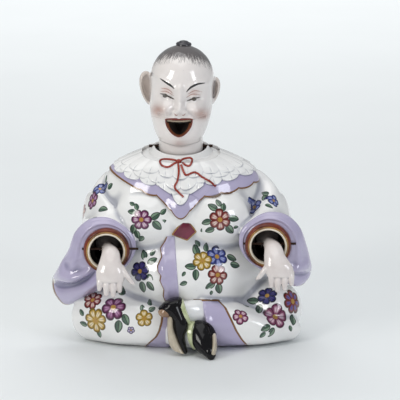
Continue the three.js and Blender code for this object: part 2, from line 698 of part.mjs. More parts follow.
// The hands. Each droops from its cuff, and its stem reaches back into the sleeve.
// The shape is given for the right hand, about its pin, with the thumb on the +X side.
function handSolid({ centre: [x, y, z], side }, { shift, lean }) {
  const middle = (share) => shift + share * lean;
  const arm = loft(
    [
      [[0, 18.6, -1], [8, 0, 0], [0, 0, 8]],
      [[0, 8, -1], [4.5, 0, 0], [0, 0, 4.5]],
      [[shift, -4, -1.6], [5.8, 0, 0], [0, -1.4, 4.6]],
      [[middle(0.2), -9.5, -5.5], [7, 0, 0], [0, -3.6, 2.6]],
      [[middle(0.7), -13.5, -12], [9.2, 0, 0], [0, -4.2, 1.6]],
      [[middle(1), -15.4, -18], [9, 0, 0], [0, -3.4, 0.9]],
    ],
    { rows: 7, columns: 9, ends: [6, 1.5] },
  );
  const finger = (from, to, radius) => {
    const [root, tip] = [from, to].map(([a, b, c]) => [a + middle(1), b, c]);
    const bend = root.map((part, k) => (part + tip[k]) / 2);
    bend[1] -= 1.2;
    const [u, v] = [[radius, 0, 0], [0, -radius, 0.3]];
    const slim = (vector) => vector.map((part) => part * 0.78);
    const sections = [[root, u, v], [bend, u, v], [tip, slim(u), slim(v)]];
    return loft(sections, { rows: 2, columns: 6, ends: [0, 1.8] });
  };
  const fingers = [
    finger([-6.8, -14.2, -15.5], [-7, -16, -22.9], 2.4),
    finger([-2.5, -14.8, -16.5], [-2.6, -17, -26], 2.5),
    finger([2, -14.6, -16.5], [2.1, -17, -27], 2.5),
    finger([6.2, -14, -15.5], [6.2, -16, -24.2], 2.4),
    finger([6.5, -11, -8.5], [14.4, -14, -19.5], 2.7),
  ];
  const pinHole = bar([-20, 0, 0], [20, 0, 0], handPinRadius + pinGap, 8);
  const made = join([arm, ...fingers]).subtract(pinHole);
  const turnedMade = side < 0 ? made : made.mirror([1, 0, 0]);
  return turnedMade.translate(x, y + 1, z + 1);
}

// Materials
const glaze = new THREE.MeshStandardMaterial({ color: "#eceae8", roughness: 0.12, metalness: 0 });
const flesh = new THREE.MeshStandardMaterial({ color: "#e3dad7", roughness: 0.16, metalness: 0 });
const iron = new THREE.MeshStandardMaterial({ color: "#2c2826", roughness: 0.55, metalness: 0.8 });
const lead = new THREE.MeshStandardMaterial({ color: "#5c5e62", roughness: 0.6, metalness: 0.9 });

const figure = new THREE.Group();
figure.add(meshOf("body", bodySolid(), glaze));
figure.add(meshOf("head", headSolid(), flesh));
figure.add(meshOf("head_pin", bar(...nodPinEnds(), nodPin.radius), iron));
figure.add(meshOf("head_weight", headWeight(), lead));
for (const [name, cuff] of Object.entries(cuffs)) {
  figure.add(meshOf(`${name}_hand`, handSolid(cuff, handPose[name]), flesh));
  figure.add(meshOf(`${name}_hand_pin`, bar(...handPinEnds(cuff), handPinRadius), iron));
}

export default figure;
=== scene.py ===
import bmesh
import bpy
import math
import numpy as np
from mathutils import Matrix, Vector
from mathutils.bvhtree import BVHTree


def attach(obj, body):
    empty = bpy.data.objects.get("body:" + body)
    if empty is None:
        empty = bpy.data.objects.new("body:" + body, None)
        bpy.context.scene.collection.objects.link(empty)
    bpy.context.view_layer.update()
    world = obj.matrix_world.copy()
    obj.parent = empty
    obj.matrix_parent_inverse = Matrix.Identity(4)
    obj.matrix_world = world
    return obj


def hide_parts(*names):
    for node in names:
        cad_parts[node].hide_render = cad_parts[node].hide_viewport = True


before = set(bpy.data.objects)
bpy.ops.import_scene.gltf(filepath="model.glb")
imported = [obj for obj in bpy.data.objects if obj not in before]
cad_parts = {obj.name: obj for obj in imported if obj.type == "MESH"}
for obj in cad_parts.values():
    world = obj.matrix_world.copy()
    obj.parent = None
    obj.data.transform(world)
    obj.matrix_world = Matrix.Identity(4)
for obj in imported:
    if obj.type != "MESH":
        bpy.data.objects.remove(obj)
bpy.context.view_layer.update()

# The robed trunk, sleeves and crossed legs are one hollow casting in hard-paste porcelain.
# Its parts were pressed in moulds and luted together, so every crease is soft under the glaze.
# The numbers of this file are millimetres, and each mesh is made in metres.
MM = 0.001
NECK_Y = -2.0
TRUNK_PROFILE = np.array([  # height, half width, half depth, set back from the neck's axis
    [0, 54, 42, 8], [9, 60, 46, 8], [25, 61, 47, 8], [48, 58, 44.5, 6.5], [70, 55, 41, 4],
    [90, 53.5, 37, 0], [103, 52.5, 33, -2], [111, 50, 29.5, -2], [118, 43, 26, -1.5],
    [123, 32, 23.5, -1], [126.5, 23, 21, 0], [130.2, 19.2, 19.2, 0],
])
BULGES = [  # the breasts, the breastbone and the belly: centre from the neck's axis, and radii
    ((-22, -24, 85), (22, 18, 18.5)), ((24, -24, 85.5), (22, 18, 18.5)),
    ((1, -28, 92), (11, 12, 13)), ((3, -9, 47), (50, 39, 29)),
]
BLEND = 14  # how tightly a bulge meets the trunk


def hump(off, spread):
    """A soft hump, 1 where off is 0, that dies away over the spread."""
    return np.exp(-((off / spread) ** 2))


def around(count, start=0.0):
    """Evenly spaced angles of one full turn."""
    return np.linspace(start, start + 2 * math.pi, count, endpoint=False)


def eased(rows, at):
    """A table's columns at each value of its first one, eased smoothly from row to row."""
    slope = np.gradient(rows[:, 1:], rows[:, 0], axis=0)
    k = np.clip(np.searchsorted(rows[:, 0], at) - 1, 0, len(rows) - 2)
    step = (rows[k + 1, 0] - rows[k, 0])[..., None]
    s = np.clip((at - rows[k, 0])[..., None] / step, 0, 1)
    return ((2 * s**3 - 3 * s**2 + 1) * rows[k, 1:] + (s**3 - 2 * s**2 + s) * step * slope[k]
            + (3 * s**2 - 2 * s**3) * rows[k + 1, 1:] + (s**3 - s**2) * step * slope[k + 1])


def trunk_radius(angle, z):
    """Distance from the neck's axis to the robe. Angle zero is the front and grows towards +X."""
    angle, z = np.broadcast_arrays(np.asarray(angle, float), np.asarray(z, float))
    width, depth, back = np.moveaxis(eased(TRUNK_PROFILE, z), -1, 0)
    dx, dy = np.sin(angle), -np.cos(angle)

    def reach(cx, cy, rx, ry, rise):
        a = (dx / rx) ** 2 + (dy / ry) ** 2
        b = dx * cx / rx**2 + dy * cy / ry**2
        inside = b * b - a * ((cx / rx) ** 2 + (cy / ry) ** 2 + rise - 1)
        return np.where(inside > 0, np.maximum(0, (b + np.sqrt(np.maximum(inside, 0))) / a), 0)

    total = reach(0, back, width, depth, 0) ** BLEND
    for centre, radii in BULGES:
        total = total + reach(*centre[:2], *radii[:2], ((z - centre[2]) / radii[2]) ** 2) ** BLEND
    return total ** (1 / BLEND)


def about_neck(angle, z, radius):
    """Points round the neck's axis."""
    return np.stack([radius * np.sin(angle), NECK_Y - radius * np.cos(angle), z], -1)


def on_trunk(angle, z, lift):
    """Points at angles and heights, lifted off the robe."""
    angle, z = np.broadcast_arrays(np.asarray(angle, float), np.asarray(z, float))
    return about_neck(angle, z, trunk_radius(angle, z) + lift)


def on_front(x, z, lift=0.0):
    """Points of the robe's front at each x and height, or lifted off it."""
    x, z = np.broadcast_arrays(np.asarray(x, float), np.asarray(z, float))
    angle = np.zeros(x.shape)
    for _ in range(6):
        angle = np.arcsin(np.clip(x / trunk_radius(angle, z), -1, 1))
    return on_trunk(angle, z, lift)


def skin(name, rings, loop=False):
    """A closed mesh over rings of points. Its ends are fans, or its last ring joins the first."""
    rows, columns, _ = rings.shape
    index = np.arange(rows * columns).reshape(rows, columns)
    low, high = (index, np.roll(index, -1, 0)) if loop else (index[:-1], index[1:])
    quads = np.stack([low, np.roll(low, -1, 1), np.roll(high, -1, 1), high], -1).reshape(-1, 4)
    points, faces = rings.reshape(-1, 3), quads.tolist()
    if not loop:
        points = np.vstack([points, rings[0].mean(0), rings[-1].mean(0)])
        for ring, tip in ((index[0], rows * columns), (index[-1], rows * columns + 1)):
            faces += [[int(a), int(b), tip] for a, b in zip(ring, np.roll(ring, -1))]
    mesh = bpy.data.meshes.new(name)
    mesh.from_pydata((points * MM).tolist(), [], faces)
    outward(mesh)
    piece = bpy.data.objects.new(name, mesh)
    bpy.context.collection.objects.link(piece)
    return piece


def outward(mesh):
    """Turns every face outwards and shades the mesh smoothly."""
    work = bmesh.new()
    work.from_mesh(mesh)
    bmesh.ops.recalc_face_normals(work, faces=work.faces)
    work.to_mesh(mesh)
    work.free()
    mesh.shade_smooth()


def spline(points, t):
    """A smooth curve through the points, evenly timed, at each t from 0 to 1."""
    points = np.asarray(points, float)
    before, after = 2 * points[0] - points[1], 2 * points[-1] - points[-2]
    path = np.concatenate([before[None], points, after[None]])
    at = np.clip(t, 0, 1) * (len(points) - 1)
    k = np.minimum(at.astype(int), len(points) - 2)
    s = (at - k).reshape(-1, *[1] * (points.ndim - 1))
    a, b, c, d = path[k], path[k + 1], path[k + 2], path[k + 3]
    return 0.5 * (2 * b + (c - a) * s + (2 * a - 5 * b + 4 * c - d) * s**2 + (3 * b - a - 3 * c + d) * s**3)


def loft(sections, rows, columns, ends, fold=None):
    """Rings of points through sections. A section is a centre and its two half-axes.
    An end is rounded to its own depth, and fold(t, angle) swells the form by a share."""
    at, u, v = (np.array([section[part] for section in sections], float) for part in range(3))
    t = np.linspace(0, 1, rows)
    rise = np.zeros(rows)
    dome = np.linspace(0, math.pi / 2 - 0.06, 9)[1:]
    if ends[0]:
        t, rise = np.r_[np.zeros(8), t], np.r_[-dome[::-1], rise]
    if ends[1]:
        t, rise = np.r_[t, np.ones(8)], np.r_[rise, dome]
    centre = spline(at, t)
    heads = spline(at, np.array([0.02, 0])), spline(at, np.array([0.98, 1]))
    out = [-(head[0] - head[1]) / np.linalg.norm(head[0] - head[1]) for head in heads]
    centre += np.where(rise < 0, -np.sin(rise), 0)[:, None] * out[0] * ends[0]
    centre += np.where(rise > 0, np.sin(rise), 0)[:, None] * out[1] * ends[1]
    angle = around(columns)
    reach = np.cos(rise)[:, None] * np.ones(columns)
    if fold:
        reach = reach * (1 + fold(t[:, None], angle[None, :]))
    return (
        centre[:, None] + spline(u, t)[:, None] * (reach * np.cos(angle))[..., None]
        + spline(v, t)[:, None] * (reach * np.sin(angle))[..., None]
    )


def pick(*pieces):
    bpy.ops.object.select_all(action="DESELECT")
    for piece in pieces:
        piece.select_set(True)
    bpy.context.view_layer.objects.active = pieces[0]


def joined(pieces, name):
    """One mesh of all the pieces."""
    pick(*pieces)
    bpy.ops.object.join()
    pieces[0].name = name
    return pieces[0]


def apply_modifier(piece, kind, **settings):
    """Adds a modifier with its settings and makes its result the mesh."""
    modifier = piece.modifiers.new(kind.title(), kind)
    for key, value in settings.items():
        setattr(modifier, key, value)
    pick(piece)
    bpy.ops.object.modifier_apply(modifier=modifier.name)


def fused(pieces, name, grain, smoothing):
    """Luted together: one skin over all the pieces, its joints as soft as slip leaves them."""
    piece = joined(pieces, name)
    apply_modifier(piece, "REMESH", mode="VOXEL", voxel_size=grain * MM)
    apply_modifier(piece, "SMOOTH", factor=0.5, iterations=smoothing)
    piece.data.shade_smooth()
    return piece


RIM_TOP, RIM_DIP = 130.2, 3.4
TRUNK_TOP, DIP_FROM = 126.5, 104
LAP_AT = 13.5  # where one side of the robe laps over the other, in degrees


def rim_top(angle):
    """The neck's rim, which dips to the front under the chin."""
    return RIM_TOP - RIM_DIP * np.maximum(0, np.cos(angle))


def cloth_folds(angle, z):
    """Soft folds that fall from the arms over the chest, and the robe's overlap below the clasp."""
    turn = np.abs(np.degrees(np.arctan2(np.sin(angle), np.cos(angle))))
    beside = hump(turn - 58, 14) * hump(z - 98, 16)
    back = (turn > 100) * np.clip((z - 25) / 20, 0, 1) * np.clip((110 - z) / 20, 0, 1)
    past = np.degrees(angle) - LAP_AT
    lap = 0.9 / (1 + np.exp(-np.clip(past / 0.8, -30, 30))) * hump(past, 9) * (z > 20) * (z < 64)
    return 1.1 * beside * np.cos(np.radians(14 * turn)) + 0.9 * back * np.cos(np.radians(9 * turn)) - lap


angle = around(200)
signed = (angle + math.pi) % (2 * math.pi) - math.pi
z = np.linspace(0, TRUNK_TOP, 110)[:, None]
dip = np.clip((z - DIP_FROM) / (TRUNK_TOP - DIP_FROM), 0, 1) * (RIM_TOP - rim_top(signed))
trunk = skin("trunk", on_trunk(angle, z - dip, cloth_folds(signed, z)))

# Cuff middles, which side they are on, how far the sleeve's tip hangs, and how far the wrist is set
# to the thumb's side and the hand leans that way.
CUFFS = {"right": ((-49, -46, 68), -1, 22.8, (2.7, 0)), "left": ((58, -46, 71.5), 1, 11, (-3.1, -5))}
# The sleeve's mouth about the cuff: angle from straight outwards, reach, how far it lies back,
# and its share in the hanging tip.
MOUTH = np.array([
    (0, 26, 12, 0), (30, 24.5, 9, 0), (60, 24, 7, 0), (90, 22.5, 6, 0), (120, 20.5, 6, 0),
    (150, 20.5, 5, 0), (180, 19, 4, 0), (215, 17, 4, 0), (255, 17.5, 7, 0), (285, 20, 9.5, 0.42),
    (305, 24, 9, 1), (318, 25.5, 11, 1), (330, 26, 12.5, 0.8), (343, 26, 13, 0.34),
])
# The arm under the sleeve, for the left side: middles, half-axes, and how far each middle follows
# a cuff that is nearer to the body than 58 mm.
ARM = [
    ((26, 2, 101), (-7, 0, -15), (0, 17, 0), 0.3), ((44, 2, 93), (-9, 1, -17), (3, 18, 3), 0.45),
    ((57, -3, 81), (-2, 11, -20), (13, 10, 5), 0.65), ((63, -16, 70), (10, 14, -23), (13, 1, 6.5), 1),
]
VIEW_SLOPE = 0.25  # how much higher a point looks from the front for each millimetre further back
SHOULDER_X = 58  # how far out the arm is drawn
CUFF_SEAT = 14.8  # radius at which the lining meets the cuff


def mouth_ring(columns, drop):
    """The mouth's rim as offsets from the cuff: outwards, back and up."""
    angle, reach, back, hang = MOUTH.T
    reach, back = reach + drop * hang, back + 0.88 * drop * hang
    turn = np.radians(angle)
    corners = np.stack([reach * np.cos(turn), back, reach * np.sin(turn) - VIEW_SLOPE * back], -1)
    overlapping = np.vstack([corners[-3:], corners, corners[:3]])
    steps = (np.arange(columns) / columns * len(corners) + 3) / (len(overlapping) - 1)
    return spline(overlapping, steps)


def sleeve_rings(centre, side, drop, columns=120):
    """The sleeve from the shoulder to its mouth, and its lining from the mouth to the cuff."""
    mouth = mouth_ring(columns, drop)
    bearing = np.arctan2(mouth[:, 2], mouth[:, 0])
    phi = bearing + math.radians(60)
    flip = np.array([side, 1, 1])
    arm = [
        (np.array(at) + np.array([follows * (abs(centre[0]) - SHOULDER_X), 0, 0])
         + np.outer(np.cos(phi), u) + np.outer(np.sin(phi), v)) * flip
        for at, u, v, follows in ARM
    ]
    rim = mouth * flip + centre
    outside = spline(np.array([*arm, rim]), np.linspace(0, 1, 70))
    along = np.linspace(0, 1, 70)[:, None]
    ripple = 0.9 * np.sin(math.pi * along) ** 2 * np.cos(6 * phi + 3 * along)
    middle = outside.mean(1, keepdims=True)
    away = (outside - middle) / np.linalg.norm(outside - middle, axis=-1, keepdims=True)
    outside = outside + away * ripple[..., None]
    cuff = np.stack([CUFF_SEAT * np.cos(bearing), np.full(columns, 2.5), CUFF_SEAT * np.sin(bearing)], -1)
    cuff = cuff * flip + centre
    q = np.linspace(0, 1, 30)[:, None, None]
    lining = rim + (cuff - rim) * q
    span = np.linalg.norm(cuff - rim, axis=-1)
    q = q[..., 0]
    lining[..., 1] -= 0.26 * np.minimum(span, 22) * np.sin(math.pi * q**0.85) ** 0.8
    lining[..., 1] -= 0.5 * np.cos(4 * math.pi * q) * np.sin(math.pi * q)
    off = np.degrees(bearing) + 38 + 26 * q
    valley = hump(off, 5) - 1.1 * hump(off - 10, 7) - 0.5 * hump(off + 17, 9)
    lining[..., 1] += 0.27 * drop * valley * np.sin(math.pi * np.clip(q * 0.75 + 0.25, 0, 1)) ** 0.7
    return outside, lining


sleeves = {hand: sleeve_rings(centre, side, drop) for hand, (centre, side, drop, _) in CUFFS.items()}
parts = [trunk]
for hand, (outside, lining) in sleeves.items():
    hidden = lining[3:] + np.array([0, 1.6, 0])
    middle = hidden[-1].mean(0)
    closing = middle + (hidden[-1] - middle) * 0.7 + np.array([0, 5, 0])
    parts.append(skin(f"{hand}_sleeve", np.concatenate([outside, hidden, closing[None]])))


def leg_folds(t, angle):
    """Folds of the trousers, drawn in at the ankle."""
    return 0.05 * np.sin(math.pi * t) * np.cos(5 * angle + 1 + 1.5 * t) + 0.02 * t * np.cos(9 * angle)


def thigh(side, knee):
    """The thigh under the robe, from the hip to the knee."""
    return loft([
        ((26 * side, 4, 20), (0, 0, 21), (8 * side, 24, 0)),
        ((46 * side, -6, 20), (0, 0, 20.5), (10 * side, 22, 0)),
        (knee, (0, 0, 18.5), (11 * side, 17, 0)),
    ], 40, 90, (10, 13))


RIGHT_SHIN = [
    ((-58, -24, 17), (0, 0, 18), (-12, -10, 0)),
    ((-42, -33, 17), (0, 0, 18), (-5, -15, 0)),
    ((-24, -37, 16), (0, 0, 17), (-2, -15, 0)),
    ((-9, -40, 13.5), (0, 0, 14), (-1, -12, 0)),
]
LEFT_SHIN = [
    ((66, -28, 10), (0, 0, 10), (11, -9, 0)),
    ((51, -35, 12), (0, 0, 12), (6, -14.5, 0)),
    ((36, -38, 14.5), (1, 0, 15), (3, -15, 0)),
    ((25, -41, 17), (-3, 0, 16.8), (1, -13.5, 0)),
    ((17, -43.5, 19), (-4, 0, 16.5), (1, -13, 0)),
]
parts += [
    skin("right_thigh", thigh(-1, (-56, -20, 18))),
    skin("left_thigh", thigh(1, (67, -20, 19))),
    skin("right_shin", loft(RIGHT_SHIN, 70, 100, (12, 5), leg_folds)),
    skin("left_shin", loft(LEFT_SHIN, 70, 100, (12, 1), leg_folds)),
]
robe = fused(parts, "robe", 1.15, 7)


def cutter(name, profile, place, along_y=False):
    """A round solid turned from [radius, height] pairs, to cut with."""
    angle = around(64)
    radius, height = np.array(profile, float).T
    x, y = radius[:, None] * np.cos(angle), radius[:, None] * np.sin(angle)
    z = height[:, None] * np.ones(64)
    rings = np.stack([x, z, -y] if along_y else [x, y, z], -1) + np.array(place, float)
    return skin(name, rings)


def cut(piece, tool):
    """Cuts the tool out of the piece and removes the tool."""
    apply_modifier(piece, "BOOLEAN", object=tool, operation="DIFFERENCE", solver="MANIFOLD")
    bpy.data.objects.remove(tool)


# The inner room, the neck's well, the flat base and the holes of the cuffs, as radius and height.
ROOM = [(0.1, 5), (30, 5), (34, 22), (34, 45), (31, 70), (29, 94), (17, 104), (17, 135), (0.1, 135)]
cut(robe, cutter("room", ROOM, (0, NECK_Y + 0.5, 0)))
cut(robe, cutter("base", [(0.1, -9), (300, -9), (300, 0), (0.1, 0)], (0, 0, 0)))
HAND_ROOM = [(0.1, 5), (12, 7), (13, 14), (13, 28), (7, 34), (0.1, 35)]
for centre, *_ in CUFFS.values():
    cut(robe, cutter("cuff_room", [(0.1, -14), (11.6, -14), (11.6, 9), (0.1, 9)], centre, along_y=True))
    room = cutter("hand_room", HAND_ROOM, (0, 0, 0), along_y=True)
    room.data.transform(Matrix.Translation(Vector(centre) * MM) @ Matrix.Diagonal((0.7, 1, 1, 1)))
    cut(robe, room)
robe.data.shade_smooth()
NECK_BORE, CUFF_BORE, SLEEVE_DEPTH = 17.3, 13.2, 36


def mesh_values(piece, part, key, width=3, kind=float):
    """One property of a mesh's vertices, edges, polygons or loops, with a row for each."""
    items = getattr(piece.data, part)
    values = np.empty(width * len(items), kind)
    items.foreach_get(key, values)
    return values.reshape(-1, width) if width > 1 else values


def mesh_points(piece):
    """The mesh's points in millimetres."""
    return mesh_values(piece, "vertices", "co") / MM


def store(piece, name, values, kind="FLOAT", domain="POINT"):
    """Keeps a value, a vector or a colour for each point or face, for the material to read."""
    key = {"FLOAT": "value", "FLOAT_VECTOR": "vector", "FLOAT_COLOR": "color"}[kind]
    piece.data.attributes.new(name, kind, domain).data.foreach_set(key, np.ravel(values).astype(float))


def inside_faces(piece):
    """Marks the faces inside the neck and the cuffs, which were never glazed and are painted dark as shade.
    """
    x, y, z = (mesh_values(piece, "polygons", "center") / MM).T
    inside = (np.hypot(x, y - NECK_Y) < NECK_BORE) & (z > 90)
    for (cx, cy, cz), *_ in CUFFS.values():
        inside |= (np.hypot(x - cx, z - cz) < CUFF_BORE) & (y > cy - 2.5) & (y < cy + SLEEVE_DEPTH)
    store(piece, "inside", inside, domain="FACE")


def mark_crease_shade(piece, rounds=40, strength=1.0):
    """Stores how deep each point lies in a crease, in millimetres, where the glaze gets painted shade."""
    point, normal = mesh_points(piece), mesh_values(piece, "vertices", "normal")
    a, b = mesh_values(piece, "edges", "vertices", 2, int).T
    count = len(point)
    meeting = np.maximum(np.bincount(a, minlength=count) + np.bincount(b, minlength=count), 1)
    smooth = point
    for _ in range(rounds):
        total = [np.bincount(a, smooth[b, k], count) + np.bincount(b, smooth[a, k], count)
                 for k in range(3)]
        smooth = 0.5 * smooth + 0.5 * np.stack(total, -1) / meeting[:, None]
    store(piece, "hollow", ((smooth - point) * normal).sum(-1) * strength)


inside_faces(robe)
# Painted shade in the robe's creases and folds.
mark_crease_shade(robe)

# The glaze: clear feldspar glass fired over the white body. It is glassy and even, a little
# uneven where it ran, with a few specks from the kiln, and painted shade of a cold grey in creases.


def colour(code):
    """An sRGB hex value as linear light."""
    parts = [int(code[k:k + 2], 16) / 255 for k in (1, 3, 5)]
    return (*(p / 12.92 if p <= 0.04045 else ((p + 0.055) / 1.055) ** 2.4 for p in parts), 1.0)


def node(tree, kind, inputs=None, **settings):
    """Adds a node. An input is a value, a node, whose first output is taken, or an output."""
    made = tree.nodes.new("ShaderNode" + kind)
    for key, value in settings.items():
        setattr(made, key, value)
    for key, value in (inputs or {}).items():
        if isinstance(value, bpy.types.Node):
            value = value.outputs[0]
        if isinstance(value, bpy.types.NodeSocket):
            tree.links.new(value, made.inputs[key])
        else:
            made.inputs[key].default_value = value
    return made


def sums(tree, operation, *values, **settings):
    """One operation of arithmetic on values or outputs."""
    return node(tree, "Math", dict(enumerate(values)), operation=operation, **settings).outputs[0]


def ramp(tree, value, start, end, low=0.0, high=1.0):
    """Runs from low to high while the value goes from start to end."""
    ends = {"From Min": start, "From Max": end, "To Min": low, "To Max": high}
    return node(tree, "MapRange", {"Value": value, **ends}).outputs[0]


def mixed(tree, share, under, over):
    """One colour over another, by a share. Each is a hex value or an output."""
    under, over = (colour(tint) if isinstance(tint, str) else tint for tint in (under, over))
    return node(tree, "Mix", {"Factor": share, 6: under, 7: over}, data_type="RGBA").outputs[2]


def stored(tree, name, part="Fac"):
    """A value that was stored on the mesh."""
    return node(tree, "Attribute", attribute_name=name).outputs[part]


def noise(tree, scale, detail=2.0):
    """Noise in the piece's own space. Its scale is per metre."""
    place = node(tree, "TexCoord").outputs["Object"]
    return node(tree, "TexNoise", {"Vector": place, "Scale": scale, "Detail": detail}).outputs[0]


def new_material(name):
    """An empty material and its node tree."""
    material = bpy.data.materials.new(name)
    material.use_nodes = True
    material.node_tree.nodes.clear()
    return material, material.node_tree


def finish_glaze(tree, base, paint=None, roughness=0.09, coat=0.6, dull_share=None, shine=0.5):
    """Closes a glazed surface: base colour, painted share, and the glass over it. Where dull_share
    is one there is no glass."""
    place = node(tree, "TexCoord").outputs["Object"]
    specks = node(tree, "TexVoronoi", {"Vector": place, "Scale": 210.0}).outputs["Distance"]
    shade = ramp(tree, noise(tree, 28.0), 0.3, 0.7, 0.955)
    shade = sums(tree, "MULTIPLY", shade, ramp(tree, specks, 0.035, 0.06, 0.75))
    toned = node(tree, "VectorMath", {0: base, "Scale": shade}, operation="SCALE")
    # Painted shade: the colour turns a cold dark grey where the stored hollow is deep.
    crease_shaded = node(tree, "VectorMath", {0: toned, 1: colour("#a9acba")[:3]}, operation="MULTIPLY")
    toned = mixed(tree, ramp(tree, stored(tree, "hollow"), 0.05, 0.7, 0.0, 0.85), toned, crease_shaded)
    height = sums(tree, "ADD", noise(tree, 150.0), sums(tree, "MULTIPLY", noise(tree, 900.0, 1.0), 0.15))
    if paint is not None:
        height = sums(tree, "ADD", height, sums(tree, "MULTIPLY", paint, 0.8))
    if dull_share is not None:
        roughness = ramp(tree, dull_share, 0.0, 1.0, roughness, 0.9)
        coat = ramp(tree, dull_share, 0.0, 1.0, coat, 0.0)
    bump = node(tree, "Bump", {"Height": height, "Strength": 0.35, "Distance": 0.00012})
    shader = node(tree, "BsdfPrincipled", {
        "Base Color": toned, "Roughness": roughness, "Specular IOR Level": shine, "Coat Weight": coat,
        "Coat Roughness": 0.03, "Coat IOR": 1.5, "Normal": bump,
    })
    node(tree, "OutputMaterial", {"Surface": shader})


# The last is painted shade, near black, for the bare insides of the neck and cuffs.
WHITE, LAVENDER, GILT, INSIDE_SHADE = "#f1f0ef", "#b6aecb", "#7a5433", "#15100d"


def dress(piece, material, replaced="body", body="robe"):
    """Gives a piece its material and the body it moves with, and hides the solid that it stands for."""
    piece.data.materials.clear()
    piece.data.materials.append(material)
    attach(piece, body)
    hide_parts(replaced)


# The painter's flowers: sprays in enamel colours, each bloom with its leaves, fired on the glaze.
# Every bloom and leaf has its own small map on the robe, so it is drawn round its own middle.

VIEW_TILT = math.radians(14)
VIEW_MIDDLE, VIEW_DISTANCE = np.array([12.9, 0.0, 91.1]), 1600.0
TOWARDS = np.array([0, -math.cos(VIEW_TILT), math.sin(VIEW_TILT)])
UPWARDS = np.array([0, math.sin(VIEW_TILT), math.cos(VIEW_TILT)])


def in_view(points):
    """Where points are seen from the front, from 14 degrees above: x, and height in the view."""
    off = points - VIEW_MIDDLE
    scale = VIEW_DISTANCE / (VIEW_DISTANCE - off @ TOWARDS)
    return VIEW_MIDDLE[0] + off[..., 0] * scale, VIEW_MIDDLE @ UPWARDS + off @ UPWARDS * scale


def seen_on(tree, x, height, back=False):
    """The point of a surface that is seen at x and height, from the front or as much from behind."""
    turn = np.array([-1, -1, 1]) if back else np.ones(3)
    plane = VIEW_MIDDLE + np.array([x - VIEW_MIDDLE[0], 0, 0]) + UPWARDS * (height - VIEW_MIDDLE @ UPWARDS)
    eye, aim = (VIEW_MIDDLE + TOWARDS * VIEW_DISTANCE) * turn, plane * turn
    hit, facing, *_ = tree.ray_cast(Vector(eye) * MM, Vector(aim - eye).normalized())
    return (np.array(hit) / MM, np.array(facing)) if hit else (aim, None)


BLOOMS = {
    "magenta": ("#7c2763", "#e9d3e0"), "red": ("#8f2a26", "#f0dcd2"), "navy": ("#2a2a63", "#4a4380"),
    "blue": ("#2f3f92", "#a9b2de"), "yellow": ("#c9a233", "#f4ead2"), "purple": ("#74305f", "#c79ac0"),
    "red_blue": ("#8c3129", "#4f62b4"), "pink": ("#8d3a66", "#efd6e0"), "violet": ("#74648f", "#d8cfe4"),
}
